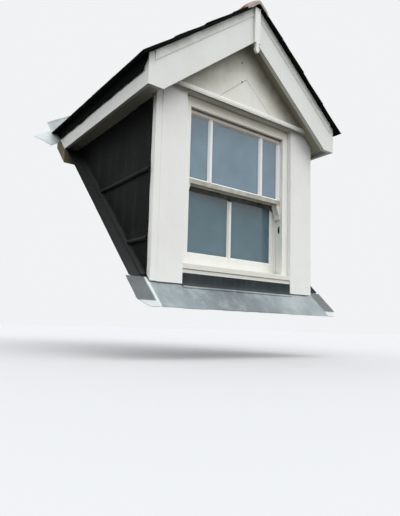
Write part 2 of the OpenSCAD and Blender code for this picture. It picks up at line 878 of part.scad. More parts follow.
// One sheet of cheek lead: flat on the boarding, stepped out over the sheet and
// the flashing below it, welted at its lower edge and turned out at its foot
module cheek_sheet(low, high, tail) {
    flat_low = low + lap + gap;
    outer = face_x + lead_t + gap;
    step_low = flat_low + lap_step;
    step_up = upstand + lap_step;
    along_x(face_x, face_x + lead_t) cheek_zone(flat_low, high + tail, upstand + gap);
    along_x(face_x, outer + lead_t) difference() {
        cheek_zone(flat_low, high - gap, upstand + gap);
        translate([lap_step, 0]) cheek_zone(step_low, high, step_up);
    }
    along_x(outer, outer + lead_t) difference() {
        cheek_zone(low, high - gap, lead_t + gap);
        cheek_zone(step_low, high, step_up);
    }
    along_x(outer, outer + welt_t) cheek_zone(low, low + welt_w, lead_t + gap);
    intersection() {
        on_roof(lead_t + gap, 2 * lead_t + gap)
            translate([outer, lead_front / roof_cos]) square([cheek_foot, reach]);
        translate([0, 0, low]) cube([reach, reach, high - gap - low]);
    }
}

module cheek_lead() {
    color("dimgray") placed() {
        cheek_sheet(-lap, lap_low, lap);
        cheek_sheet(lap_low, lap_high, lap);
        cheek_sheet(lap_high, soffit_z - gap, 0);
    }
}

module side_flashings() {
    start = lead_front / roof_cos + gap;
    length = roof_y(soffit_z) / roof_cos - start;
    color("gray") placed() both_sides() intersection() {
        rotate([roof_pitch, 0, 0]) translate([face_x, start, 0]) {
            cube([lead_t, length, upstand]);
            cube([side_flash_w, length, lead_t]);
            translate([side_flash_w - welt_w, 0, 0]) cube([welt_w, length, welt_t]);
        }
        cube([reach, reach, eaves_z - gap]);
    }
}

// Apron under the window, with wings past the corners and an upstand behind the sill's nose
module lead_apron() {
    half = face_x + apron_side;
    edge = [[half, 0], [half, apron_cut - apron_len], [half - apron_cut, -apron_len]];
    color("lightgray") placed() {
        on_roof(0, lead_t) {
            polygon(concat(edge, mirrored(edge)));
            translate([-pilaster_x, 0]) square([2 * pilaster_x, kerb_y / roof_cos]);
            both_sides() translate([pilaster_x, 0]) square([pilaster_w, frame_y / roof_cos]);
            both_sides() translate([face_x, 0]) square([apron_side, lead_front / roof_cos]);
        }
        above_roof(gap) along_x(gap - pilaster_x, pilaster_x - gap)
            translate([sill_foot_set, 0]) square([lead_t, sill_z]);
    }
}

// Band on the main roof along the right-hand valley
module valley_band(inner, outer, x0, x1) {
    polygon([in_valley(inner, x0), in_valley(inner, x1), in_valley(outer, x1), in_valley(outer, x0)]);
}

// Strips that run under the slates' cut edges, with welts, and tails that lap on to the roof
module valley_leads() {
    inner = deck_top + gap;
    outer = slate_top + valley_w;
    tail_x = slate_x + tail_len;
    color("lightgray") placed() both_sides() {
        on_roof(0, lead_t) {
            valley_band(inner, outer, saddle_w, slate_x);
            intersection() {
                translate(in_valley(slate_top + tail_side, tail_x)) rotate(180 - valley_slant)
                    square([2 * tail_len, tail_w]);
                translate([fascia_x + felt_t + gap, 0]) square(reach);
            }
        }
        on_roof(0, welt_t) valley_band(outer - 2 * welt_w, outer, saddle_w, slate_x);
    }
}

// Sheet that covers the end of the ridge and the heads of the valleys
module ridge_saddle() {
    back = valley_y(ridge_top, 0);
    inner = deck_top + gap;
    head = in_valley(slate_top + valley_w, 0)[1];
    side = [[saddle_w - gap, in_valley(inner, saddle_w)[1]], [saddle_w - gap, head]];
    color("lightgray") placed() {
        above_roof() along_y(back - saddle_lap, back)
            ridge_cover(ridge_top + gap, lead_t, ridge_tile_w + gap);
        on_roof(0, lead_t)
            polygon(concat([in_valley(inner, 0)], side, mirrored(side)));
    }
}

kerb_frame();
left_side() corner_post();  // corner_post_left
corner_post();  // corner_post_right
wall_plates();
cheek_studs();
left_side() cheek_boarding();  // cheek_boarding_left
cheek_boarding();  // cheek_boarding_right
left_side() cheek_lining();  // cheek_lining_left
cheek_lining();  // cheek_lining_right
corner_boards();
left_side() pilaster();  // pilaster_left
pilaster();  // pilaster_right
lintel();
gable_stud();
window_frame();
window_sill();
window_board();
top_sash();
bottom_sash();
top_panes();
bottom_panes();
gable_sheathing();
gable_boards();
gable_infill();
gable_moulding();
rafters();
ridge_board();
left_side() roof_deck();  // roof_deck_left
roof_deck();  // roof_deck_right
left_side() ceiling();  // ceiling_left
ceiling();  // ceiling_right
verge_soffits();
left_side() eaves_soffit();  // eaves_soffit_left
eaves_soffit();  // eaves_soffit_right
left_side() fascia();  // fascia_left
fascia();  // fascia_right
left_side() bargeboard();  // bargeboard_left
bargeboard();  // bargeboard_right
apex_strip();
eaves_felts();
left_side() slates();  // slates_left
slates();  // slates_right
ridge_tiles();
left_side() cheek_lead();  // cheek_lead_left
cheek_lead();  // cheek_lead_right
side_flashings();
lead_apron();
valley_leads();
ridge_saddle();
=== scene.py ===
import math
import random

import bmesh
import bpy
from mathutils import Matrix, Vector, noise


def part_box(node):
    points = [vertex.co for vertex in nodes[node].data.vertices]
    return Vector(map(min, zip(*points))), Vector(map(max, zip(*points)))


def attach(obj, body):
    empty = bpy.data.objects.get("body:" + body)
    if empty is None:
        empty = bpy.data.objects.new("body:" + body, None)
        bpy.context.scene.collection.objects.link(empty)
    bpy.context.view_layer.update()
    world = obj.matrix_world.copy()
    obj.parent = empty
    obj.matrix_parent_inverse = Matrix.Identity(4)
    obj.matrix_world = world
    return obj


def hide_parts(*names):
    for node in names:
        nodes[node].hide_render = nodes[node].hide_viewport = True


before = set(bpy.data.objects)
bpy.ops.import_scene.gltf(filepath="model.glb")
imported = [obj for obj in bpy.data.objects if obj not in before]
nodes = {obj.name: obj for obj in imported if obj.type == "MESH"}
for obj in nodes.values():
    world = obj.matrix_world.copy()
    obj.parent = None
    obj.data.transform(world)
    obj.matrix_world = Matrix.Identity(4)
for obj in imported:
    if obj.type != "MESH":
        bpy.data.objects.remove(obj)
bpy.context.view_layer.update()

# The view: a camera low down in front of the left-hand corner, looking up at the
# gable, with the lens and the turn that the edges of the real one gave.
turn, tilt, roll = math.radians(36.38), math.radians(6.50), math.radians(1.56)
camera_spot = (-1.7810, -2.0672, -0.1695)
ahead = Vector((math.sin(turn) * math.cos(tilt), math.cos(turn) * math.cos(tilt), math.sin(tilt)))
level = Vector((math.cos(turn), -math.sin(turn), 0.0))
above = level.cross(ahead)
across = math.cos(roll) * level + math.sin(roll) * above
upright = math.cos(roll) * above - math.sin(roll) * level
lens = bpy.data.cameras.new("view_camera")
lens.lens = 32.84
lens.sensor_width = 36.0
lens.shift_x, lens.shift_y = 0.0027, 0.0314
camera = bpy.data.objects.new("view_camera", lens)
camera.matrix_world = (Matrix.Translation(camera_spot)
                       @ Matrix((across, upright, -ahead)).transposed().to_4x4())
scene = bpy.context.scene
scene.collection.objects.link(camera)
scene.camera = camera
scene.view_settings.view_transform = "Standard"


# The light: a white sky, brighter overhead than at the skyline, with one broad soft
# lamp above the front. The pale floor throws hardly any light up under the eaves.
def linkable(value):
    return isinstance(value, bpy.types.NodeSocket)


def node(kind, inputs, tree=None, **settings):
    """A new node. A socket among its inputs is linked to it, and tells its tree; a value is set."""
    if tree is None:
        tree = next(filter(linkable, inputs.values())).id_data
    made = tree.nodes.new(kind)
    for key, value in settings.items():
        setattr(made, key, value)
    for key, value in inputs.items():
        if linkable(value):
            tree.links.new(value, made.inputs[key])
        else:
            made.inputs[key].default_value = value
    return made


def add(kind, inputs, out=0, tree=None, **settings):
    """One output of a new node."""
    return node(kind, inputs, tree, **settings).outputs[out]


def maths(operation, first, second=0.0):
    """A sum, a product or the like of two numbers."""
    return add("ShaderNodeMath", {0: first, 1: second}, operation=operation)


def ramp(value, start, end, low=0.0, high=1.0, **settings):
    """A number that runs from low to high while a value runs from start to end."""
    return add("ShaderNodeMapRange", {0: value, 1: start, 2: end, 3: low, 4: high}, **settings)


def parts(vector):
    """The three numbers of a vector."""
    return node("ShaderNodeSeparateXYZ", {0: vector}).outputs


def mixed(share, first, second, **settings):
    """A mix of two colours, each a socket or its red, green and blue."""
    first, second = (c if linkable(c) else (*c, 1.0) for c in (first, second))
    return add("ShaderNodeMix", {0: share, 6: first, 7: second}, 2, data_type="RGBA", **settings)


def shown_rays(tree):
    """1 for what the camera, a mirror or glass shows, 0 for light that a surface scatters."""
    path = node("ShaderNodeLightPath", {}, tree).outputs
    either = maths("MAXIMUM", path["Is Camera Ray"], path["Is Glossy Ray"])
    return maths("MAXIMUM", either, path["Is Transmission Ray"])


sky = bpy.data.worlds.new("studio_sky")
scene.world = sky
sky.use_nodes = True
tree = sky.node_tree
rise = parts(add("ShaderNodeTexCoord", {}, "Generated", tree))[2]
colour = mixed(ramp(rise, 0.0, 1.0, 0.70, 2.10), (0.0, 0.0, 0.0), (0.97, 0.985, 1.0), clamp_factor=False)
sky_light = tree.nodes["Background"]
tree.links.new(mixed(shown_rays(tree), colour, (0.88, 0.89, 0.90)), sky_light.inputs["Color"])
sky_light.inputs["Strength"].default_value = 1.0

lamp = bpy.data.lights.new("front_lamp", "SUN")
lamp.energy = 0.85
lamp.angle = math.radians(50)
lamp_object = bpy.data.objects.new("front_lamp", lamp)
lamp_object.rotation_euler = Vector((-0.15, 0.62, -0.75)).to_track_quat("-Z", "Y").to_euler()
scene.collection.objects.link(lamp_object)

floor_z, floor_half = -0.33, 40.0
floor_mesh = bpy.data.meshes.new("floor")
corners = [(x * floor_half, y * floor_half, floor_z) for x, y in ((-1, -1), (1, -1), (1, 1), (-1, 1))]
floor_mesh.from_pydata(corners, [], [(0, 1, 2, 3)])
floor_object = bpy.data.objects.new("floor", floor_mesh)
scene.collection.objects.link(floor_object)
floor_finish = bpy.data.materials.new("floor_finish")
floor_finish.use_nodes = True
tree = floor_finish.node_tree
shader = tree.nodes["Principled BSDF"]
colour = mixed(shown_rays(tree), (0.016, 0.016, 0.014), (0.50, 0.505, 0.51))
tree.links.new(colour, shader.inputs["Base Color"])
shader.inputs["Roughness"].default_value = 0.9
floor_mesh.materials.append(floor_finish)

# Framing: sawn softwood kerb, posts, studs, plates, rafters and boarding, nailed
# together. The saw leaves fine marks across the grain, and knots show in it.
dormer_pitch = math.radians(39.1)


def place_in(material):
    return add("ShaderNodeTexCoord", {}, "Object", material.node_tree)


def finish(name, roughness, **sockets):
    """A new material, its shader and its Object coordinates."""
    made = bpy.data.materials.new(name)
    made.use_nodes = True
    shader = made.node_tree.nodes["Principled BSDF"]
    for key, value in {"Roughness": roughness, **sockets}.items():
        shader.inputs[key.replace("_", " ")].default_value = value
    return made, shader, place_in(made)


def squeezed(place, scale):
    return add("ShaderNodeMapping", {0: place, "Scale": scale})


def mirrored(place):
    """Coordinates that are alike on both sides of the dormer."""
    right, back, high = parts(place)
    return add("ShaderNodeCombineXYZ", {0: maths("ABSOLUTE", right), 1: back, 2: high})


def grain_space(place, along, stretch):
    """Coordinates squeezed so that a pattern runs along the grain of the wood."""
    if along == "slope":
        place = add("ShaderNodeMapping", {0: mirrored(place), "Rotation": (0, -dormer_pitch, 0)})
        along = "X"
    return squeezed(place, [1.0 if axis == along else stretch for axis in "XYZ"])


def pattern(place, scale, low, high, detail=4.0, roughness=0.55):
    """Noise between 0 and 1 that rises from low to high."""
    cloud = add("ShaderNodeTexNoise", {"Vector": place, "Scale": scale, "Detail": detail,
                                       "Roughness": roughness})
    return ramp(cloud, low, high)


def shade(colour, factor):
    return tuple(factor * part for part in colour)


def coats(colour, *layers):
    """A colour with others laid over it, each by a pattern, its share and the other colour."""
    for amount, share, over in layers:
        colour = mixed(maths("MULTIPLY", amount, share), colour, over)
    return colour


def surfaced(shader, colour, bumps, gloss=None):
    """Gives a shader its colour, bumps of (height, depth in metres, strength) and a gloss."""
    under = {}
    for height, depth, strength in bumps:
        bump = {"Height": height, "Distance": depth, "Strength": strength, **under}
        under = {"Normal": add("ShaderNodeBump", bump)}
    for socket, key in ((colour, "Base Color"), (gloss, "Roughness"), (under["Normal"], "Normal")):
        if socket is not None:
            shader.id_data.links.new(socket, shader.inputs[key])


def dress(material, *names):
    """Gives CAD nodes a material in all their slots."""
    for name in names:
        mesh = nodes[name].data
        if not mesh.materials:
            mesh.materials.append(material)
        for slot in range(len(mesh.materials)):
            mesh.materials[slot] = material


def sawn_timber(name, along, light=(0.60, 0.42, 0.25), dark=(0.42, 0.25, 0.12)):
    """Timber with rings, fibre, weathered patches, knots and the marks of the saw."""
    material, shader, place = finish(name, 0.8)
    grain = grain_space(place, along, 16.0)
    rings = pattern(grain, 2.2, 0.3, 0.7, 6.0, 0.6)
    fibre = pattern(grain, 14.0, 0.35, 0.65)
    knots = add("ShaderNodeTexVoronoi", {"Vector": grain_space(place, along, 2.5), "Scale": 2.2}, "Distance")
    colour = coats(light, (rings, 0.7, dark), (fibre, 0.25, shade(light, 1.2)),
                   (pattern(place, 3.0, 0.5, 0.8), 0.35, (0.36, 0.30, 0.24)),
                   (ramp(knots, 0.10, 0.04), 0.85, (0.16, 0.08, 0.04)))
    saw = pattern(place, 160.0, 0.3, 0.7)
    surfaced(shader, colour, [(fibre, 0.0012, 0.6), (saw, 0.0008, 0.4)])
    return material


timber_back = sawn_timber("timber_back", "Y")
dress(timber_back, "wall_plates", "ridge_board", "cheek_boarding_left", "cheek_boarding_right",
      "roof_deck_left", "roof_deck_right")
dress(sawn_timber("timber_upright", "Z"), "corner_post_left", "corner_post_right", "cheek_studs",
      "gable_stud")
dress(sawn_timber("timber_across", "X"), "lintel", "gable_sheathing")
dress(sawn_timber("timber_slope", "slope"), "rafters")
dress(sawn_timber("treated_timber", "Y", (0.19, 0.165, 0.085), (0.10, 0.085, 0.045)), "kerb_frame")


# Inner linings: boards with a matt paint, pinned to the studs and rafters. They
# close the cheeks and the slopes on the room side, with the window board below.
def openness(place, reach):
    """1 in the open, less in a corner that has something within a reach."""
    return add("ShaderNodeAmbientOcclusion", {"Distance": reach}, "AO", place.id_data, samples=8)


def facing_up(place):
    """1 where a face looks up, -1 where it looks down."""
    return parts(add("ShaderNodeNewGeometry", {}, "Normal", place.id_data))[2]


def painted(name, colour, stain, along, roughness=0.42, wear=1.0, corner_reach=0.030, corner_darkening=0.6):
    """Paint with brush marks along the grain, stains, run-down streaks and specks. It is
    darker in corners and on faces that look down: dirt and yellowing, and painted shade."""
    material, shader, place = finish(name, roughness)
    brush = pattern(grain_space(place, along, 22.0), 9.0, 0.3, 0.7)
    patches = pattern(place, 3.4, 0.46, 0.78, 6.0, 0.6)
    streaks = pattern(squeezed(place, (22.0, 22.0, 2.6)), 1.6, 0.58, 0.86)
    specks = pattern(place, 210.0, 0.70, 0.76, 2.0)
    corner_dirt_and_shade = maths("MULTIPLY", ramp(openness(place, corner_reach), 0.66, 0.22), ramp(patches, 0.0, 1.0, 0.55, 1.0))
    # Corners, by the AO mask, and faces that look down take the stain: dirt and painted shade.
    surface = coats(colour, (patches, 0.26 * wear, stain), (streaks, 0.20 * wear, stain),
                    (brush, 0.05, shade(colour, 0.8)), (specks, 0.30 * wear, (0.16, 0.15, 0.13)),
                    (corner_dirt_and_shade, corner_darkening, shade(stain, 0.45)), (ramp(facing_up(place), -0.35, -0.85), 0.55, stain))
    swell = pattern(place, 14.0, 0.3, 0.7)
    surfaced(shader, surface, [(brush, 0.0006, 0.35), (swell, 0.0015, 0.25)],
             ramp(patches, 0.0, 1.0, roughness - 0.06, roughness + 0.22))
    return material


dress(painted("lining_paint", (0.72, 0.69, 0.60), (0.52, 0.47, 0.37), "Y", 0.65),
      "cheek_lining_left", "cheek_lining_right", "ceiling_left", "ceiling_right", "window_board")

# Front and eaves: softwood corner boards, pilasters, fascias and the strip over the
# apex, nailed through their faces, in white gloss paint that has lost its shine.
barge_white, white_stain = (0.80, 0.81, 0.78), (0.62, 0.59, 0.49)
upright_paint = painted("white_upright", (0.89, 0.89, 0.86), white_stain, "Z", wear=0.8)
dress(upright_paint, "corner_boards", "pilaster_left", "pilaster_right", "apex_strip")
dress(painted("white_back", barge_white, white_stain, "Y"), "fascia_left", "fascia_right")

# Gable: boards cut to the slopes round a smaller panel, nailed to the sheathing. Their
# paint is yellowed, and darker under the verges, most under the right-hand slope: painted
# shade of the verges and bargeboards, with some dirt.
deck_apex = 1.7324
old_stain = (0.40, 0.37, 0.27)


def below_slope(material, near, far):
    """1 down to a distance under the roof's deck, then fading to 0 at another."""
    right, _, high = parts(place_in(material))
    aside = maths("MULTIPLY", maths("ABSOLUTE", right), math.sin(dormer_pitch))
    down = maths("MULTIPLY", maths("SUBTRACT", deck_apex, high), math.cos(dormer_pitch))
    return ramp(maths("SUBTRACT", down, aside), far, near, interpolation_type="SMOOTHSTEP")


def dirt_and_shade(material, mask, share, overlay, ragged=0.5, matt=0.9):
    """Lays a colour over a material's colour by a mask with a ragged, cloudy edge, and dulls its gloss: dirt,
    and painted shade.
    """
    tree = material.node_tree
    colour, gloss = (tree.nodes["Principled BSDF"].inputs[key] for key in ("Base Color", "Roughness"))
    cloud = pattern(place_in(material), 16.0, 0.30, 0.70, 6.0, 0.6)
    cloud = maths("MULTIPLY", ramp(cloud, 0.0, 1.0, 1.0 - ragged, 1.0), mask)
    tree.links.new(coats(colour.links[0].from_socket, (cloud, share, overlay)), colour)
    if gloss.is_linked:
        dull = maths("MULTIPLY", cloud, share)
        tree.links.new(add("ShaderNodeMix", {0: dull, 2: gloss.links[0].from_socket, 3: matt}), gloss)


gable_paint = painted("gable_paint", (0.84, 0.83, 0.77), old_stain, "slope", corner_reach=0.10, corner_darkening=0.7)
# Darker in a band under the verges: painted shade with some dirt.
dirt_and_shade(gable_paint, below_slope(gable_paint, near=0.21, far=0.38), 0.68, (0.33, 0.31, 0.22), ragged=0.4)
# Darker still on the right-hand side: painted shadow of the right-hand bargeboard.
right_side_shade = ramp(parts(place_in(gable_paint))[0], -0.05, 0.15)
dirt_and_shade(gable_paint, maths("MULTIPLY", right_side_shade, below_slope(gable_paint, near=0.19, far=0.31)), 0.72,
       (0.19, 0.175, 0.12), ragged=0.3)
dress(gable_paint, "gable_boards", "gable_infill")


# Moulding: a run length of crown moulding across the foot of the gable, over the head
# of the window, in the same paint. A darker line along its lower edge is painted shade with some dirt.
def vectors(operation, first, second=(0.0, 0.0, 0.0), out=0):
    """A sum, a difference or the like of two vectors."""
    return add("ShaderNodeVectorMath", {0: first, 1: second}, out, operation=operation)


def around(material, middle, reach):
    """1 inside a rounded space about a middle, alike on both sides, fading at its edge."""
    apart = vectors("SUBTRACT", mirrored(place_in(material)), middle)
    apart = vectors("LENGTH", vectors("DIVIDE", apart, reach), out="Value")
    return ramp(apart, 1.0, 0.85)


moulding_paint = painted("white_level", (0.88, 0.87, 0.82), old_stain, "X", corner_reach=0.022, corner_darkening=0.8)
dirt_and_shade(moulding_paint, around(moulding_paint, (0.0, -0.0800, 1.1090), (4.0, 0.0240, 0.0100)), 0.42,
       (0.17, 0.155, 0.10))
dress(moulding_paint, "gable_moulding")

# Soffits: boards that close the underside of the verge and of the boxed eaves, nailed
# up to the framing. Their paint is old and dull, and the verge soffits' dark olive is partly
# painted shade under the verge.
dress(painted("verge_paint", (0.35, 0.34, 0.26), old_stain, "slope", 0.6, corner_reach=0.12, corner_darkening=0.9),
      "verge_soffits")
dress(painted("soffit_paint", (0.50, 0.49, 0.43), old_stain, "Y", 0.6, corner_reach=0.05),
      "eaves_soffit_left", "eaves_soffit_right")


# Bargeboards: a board down each verge with a boxed end and a thin planted strip along
# its upper edge, stopped short of the end. Just under the slates it is darker: dirt washed
# from them, and painted shade of their overhang.
def meshed(bm):
    """The mesh of a finished shape."""
    mesh = bpy.data.meshes.new("shape")
    bm.to_mesh(mesh)
    bm.free()
    return mesh


def as_object(name, mesh, *materials):
    """An object at the origin for a mesh that is made in its place."""
    made = bpy.data.objects.new(name, mesh)
    scene.collection.objects.link(made)
    for material in materials:
        mesh.materials.append(material)
    return made


def piece(name, mesh, materials, slot, *replaced):
    """A finished piece of the dormer: it rides on the part and may stand for CAD nodes."""
    made = as_object(name, mesh, *materials)
    mesh.name = name
    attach(made, "root")
    if replaced:
        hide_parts(*replaced)


halves = ((-1.0, "left"), (1.0, "right"))
barge_paint = painted("white_slope", barge_white, white_stain, "slope", corner_reach=0.05, corner_darkening=0.7)
# Darker just under the slates: run-off dirt and painted shade.
dirt_and_shade(barge_paint, below_slope(barge_paint, near=0.004, far=0.060), 0.50, (0.24, 0.24, 0.19),
       ragged=0.75)
barge_face, strip_share, strip_low, board_top = -0.155, 0.40, 0.050, 0.0002
tail_lift, board_lift = 0.0120, 0.0060
for side, half in halves:
    board = bmesh.new()
    board.from_mesh(nodes["bargeboard_" + half].data)
    bmesh.ops.remove_doubles(board, verts=board.verts, dist=1e-5)
    for vert in board.verts:
        x, y, z = vert.co
        depth = (deck_apex - z) * math.cos(dormer_pitch) - abs(x) * math.sin(dormer_pitch)
        if depth < strip_low:
            vert.co.z += abs(x) * (tail_lift if depth > board_top else tail_lift + board_lift)
        if y < barge_face:
            vert.co.y = barge_face + strip_share * (y - barge_face)
    piece("barge_" + half, meshed(board), [barge_paint], "white_paint", "bargeboard_" + half)


# Joint stopping: the joint between each pilaster and its corner board is filled and
# painted over in a thin run, save at its top end, where it has opened.
def steps(first, last, size):
    """Even steps of about one size between two values."""
    count = max(1, round((last - first) / size))
    return [first + (last - first) * i / count for i in range(count + 1)]


def soft_noise(x, y, z):
    """Noise that changes smoothly between about -1 and 1."""
    return noise.noise(Vector((x, y, z)))


def skinned(bm, rings):
    """Closes a solid from rings of vertices; the face that caps its last ring."""
    for low, high in zip(rings, rings[1:]):
        for i in range(len(low)):
            j = (i + 1) % len(low)
            bm.faces.new((low[i], low[j], high[j], high[i]))
    bm.faces.new(rings[0])
    cap = bm.faces.new(rings[-1])
    bmesh.ops.recalc_face_normals(bm, faces=bm.faces)
    return cap


filler_x, filler_low, filler_top = 0.5622, 0.056, 0.990
for side, half in halves:
    stopping = bmesh.new()
    rings = []
    for z in steps(filler_low, filler_top, 0.0234):
        slump = 0.0005 * soft_noise(z * 16.0, side, 0.0)
        rings.append([stopping.verts.new((side * (filler_x + out), y, z))
                      for out, y in ((-0.0014, -0.05985), (0.0004, -0.0593 + slump), (0.0026, -0.05805),
                                     (0.0026, -0.0540), (-0.0014, -0.0540))])
    skinned(stopping, rings)
    piece("joint_stopping_" + half, meshed(stopping), [upright_paint], "white_paint")

# Window: a boxed frame with sliding sashes and a sill with a nose, all softwood, in
# old off-white paint. The top sash's copy of it is lighter, and the bottom sash's and the
# sill's darker, as painted light and shade. The slots in the pulley stiles and the gaps
# at the corners of the head are painted black as shadow. The horns, lines under the head
# and the lower sash's top rail are darkened: painted shade with some dirt.
cream_stain = (0.55, 0.50, 0.36)
frame_paint = painted("frame_paint", (0.91, 0.91, 0.86), cream_stain, "Z", 0.38, 0.8, 0.040, 0.8)
top_paint = painted("top_sash_paint", (0.94, 0.95, 0.94), cream_stain, "Z", 0.38, 0.4, 0.012, 0.4)
low_paint = painted("bottom_sash_paint", (0.84, 0.84, 0.79), cream_stain, "Z", 0.38, 0.8, 0.018, 0.6)
dress(frame_paint, "window_frame")
dress(top_paint, "top_sash")
dress(low_paint, "bottom_sash")
dress(painted("sill_paint", (0.78, 0.77, 0.71), cream_stain, "X", 0.38, 0.9, 0.020, 0.6), "window_sill")

shadow_black = (0.006, 0.006, 0.005)
for paint, middle, reach, *overlay in (
        # The slot in each pulley stile, black inside and at its mouth: painted shadow.
        (frame_paint, (0.4380, 0.0420, 0.4644), (0.0590, 0.0600, 0.1200), 1.0, shadow_black, 0.0),
        (frame_paint, (0.3900, 0.0150, 0.4644), (0.0165, 0.0130, 0.0360), 1.0, shadow_black, 0.0),
        # The gaps at the corners of the head, black: painted shadow.
        (frame_paint, (0.3850, -0.0310, 1.1030), (0.0110, 0.0080, 0.0060), 1.0, shadow_black, 0.0),
        (frame_paint, (0.3560, -0.0060, 1.0440), (0.0110, 0.0080, 0.0100), 1.0, shadow_black, 0.0),
        # A warm stain on the head.
        (frame_paint, (0.0, -0.0320, 1.0780), (0.45, 0.0400, 0.0520), 0.80, (0.97, 0.91, 0.78), 0.2, 0.45),
        # Dark lines under the head and under the moulding: painted shadow with some dirt.
        (frame_paint, (0.0, -0.0060, 1.0460), (0.90, 0.0120, 0.0070), 0.90, (0.10, 0.075, 0.045), 0.3),
        (frame_paint, (0.0, -0.0320, 1.1110), (0.90, 0.0250, 0.0120), 0.75, (0.26, 0.23, 0.14), 0.5),
        # The meeting rail's face darkened olive, and the top rail darker under the head.
        (top_paint, (0.0, -0.0080, 0.6300), (4.0, 0.0300, 0.0200), 0.85, (0.25, 0.22, 0.12), 0.4),
        (top_paint, (0.0, -0.0080, 1.0330), (4.0, 0.0300, 0.0230), 0.60, (0.58, 0.51, 0.38), 0.4),
        # A dark line on the top rail under the head: painted shadow with some dirt.
        (top_paint, (0.0, -0.0080, 1.0480), (4.0, 0.0300, 0.0080), 0.90, (0.10, 0.08, 0.05), 0.3),
        # The horns: painted shade.
        (top_paint, (0.3560, -0.0080, 0.5850), (0.0500, 0.0400, 0.0420), 0.55, (0.52, 0.46, 0.32), 0.4),
        # The lower sash's top rail behind the meeting rail, near black: painted shadow with some dirt.
        (low_paint, (0.0, 0.0400, 0.6260), (4.0, 0.0300, 0.0460), 1.0, (0.020, 0.020, 0.016), 0.15)):
    dirt_and_shade(paint, around(paint, middle, reach), *overlay)

# Panes: single sheets of old, slightly wavy glass, bedded in putty in the sashes. Their
# tints, with lighter and darker clouds, are painted reflection: bluish sky on the upper
# ones, darker and greener on the lower ones, behind the top sash. Each pane darkens
# towards its putty: painted shade with some dirt.
for name, reflection_tint, pane, edge_reach, edge_share in (
        ("upper_glass", (0.28, 0.42, 0.52), "top_panes", 0.022, 0.55),
        ("lower_glass", (0.118, 0.225, 0.275), "bottom_panes", 0.045, 0.90)):
    glass, shader, place = finish(name, 0.03, Transmission_Weight=0.4, IOR=1.7)
    putty_dirt_and_shade = openness(place, edge_reach)
    colour = coats(reflection_tint, (pattern(place, 2.6, 0.35, 0.70), 0.45, shade(reflection_tint, 1.25)),
                   (pattern(place, 4.5, 0.42, 0.72, 2.0), 0.45, shade(reflection_tint, 0.68)),
                   (ramp(putty_dirt_and_shade, 0.95, 0.45), edge_share, (0.030, 0.040, 0.032)))
    surfaced(shader, colour, [(pattern(place, 5.0, 0.3, 0.7, 1.0), 0.002, 0.06)])
    dress(glass, pane)

# Slates: riven plates with dressed edges, nailed in four courses to a broken bond,
# each course over the next but one. A slate and a half starts every other course at
# the verge, and the slates are cut along the valleys.
slate_size = (0.300, 0.600, 0.0056)
slate_gauge, slate_gap, slate_top = 0.240, 0.003, 0.0196
slate_pitch = dormer_pitch - math.radians(0.6)
slate_hinge, slate_reach = 0.060, 0.900
slip_most, chip_least, chip_most = 0.0012, 0.0025, 0.0060
roof_gap, apex_gap = 0.005, 0.002
verge_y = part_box("slates_left")[0].y + 0.003
main_pitch, front_y, kerb_rise = math.radians(43.8), -0.060, 0.03944
roof_start = Vector((0.0, front_y, kerb_rise))
up_main = Vector((0.0, math.cos(main_pitch), math.sin(main_pitch)))
off_main = Vector((0.0, -math.sin(main_pitch), math.cos(main_pitch)))


def own_tone(place):
    """The tone that each slate or tile has of its own."""
    return add("ShaderNodeAttribute", {}, "Fac", place.id_data, attribute_name="tone")


slate, shader, place = finish("slate_stone", 0.5)
cloud = pattern(place, 7.0, 0.3, 0.7, 8.0, 0.65)
veins = pattern(squeezed(place, (3.0, 30.0, 3.0)), 2.0, 0.55, 0.8)
colour = coats((0.026, 0.030, 0.034), (own_tone(place), 0.8, (0.052, 0.057, 0.062)),
               (cloud, 0.40, (0.068, 0.072, 0.072)), (veins, 0.3, (0.085, 0.092, 0.088)))
rift = pattern(place, 24.0, 0.25, 0.75, 9.0, 0.62)
surfaced(shader, colour, [(rift, 0.004, 0.5), (cloud, 0.006, 0.3)], ramp(cloud, 0.0, 1.0, 0.38, 0.62))

# The slates' edges: near black, as painted shade of their undersides, with grit and brownish dirt.
slate_edge_shade, shader, place = finish("slate_edge_shade", 0.9, Specular_IOR_Level=0.05)
grit = pattern(place, 160.0, 0.35, 0.7, 6.0)
colour = coats((0.004, 0.0045, 0.004), (grit, 0.6, (0.016, 0.017, 0.015)),
               (pattern(place, 9.0, 0.50, 0.72, 5.0), 0.5, (0.020, 0.017, 0.007)))
surfaced(shader, colour, [(grit, 0.0015, 0.8)])


def riven_slate(length):
    """One slate about its own centre, with a chipped bevel round the face that shows."""
    chance = random.Random(11)
    half_w, half_l, thick = slate_size[0] / 2, length / 2, slate_size[2]
    corners = [(-half_w, -half_l), (half_w, -half_l), (half_w, half_l), (-half_w, half_l)]
    outline = []
    for side in range(4):
        (x0, y0), (x1, y1) = corners[side], corners[(side + 1) % 4]
        count = (8, 14)[side % 2]
        for step in range(count):
            slip = chance.uniform(-slip_most, slip_most) if step else 0.0
            part = step / count
            outline.append((x0 + (x1 - x0) * part + (slip if side % 2 else 0.0),
                            y0 + (y1 - y0) * part + (0.0 if side % 2 else slip)))
    bm = bmesh.new()
    rims = []
    for inset, height in ((0.0, -thick), (0.0, -0.6 * thick), (1.0, 0.0)):
        rim = []
        for x, y in outline:
            chip = inset * chance.uniform(chip_least, chip_most)
            rim.append(bm.verts.new((x - math.copysign(chip, x), y - math.copysign(chip, y), height)))
        rims.append(rim)
    face_up = skinned(bm, rims)
    for face in bm.faces:
        face.material_index = int(face != face_up)
    mesh = meshed(bm)
    edge = mesh.attributes.new("edge", "BOOLEAN", "FACE")
    edge.data.foreach_set("value", [p.material_index == 1 for p in mesh.polygons])
    return as_object("riven_slate", mesh)


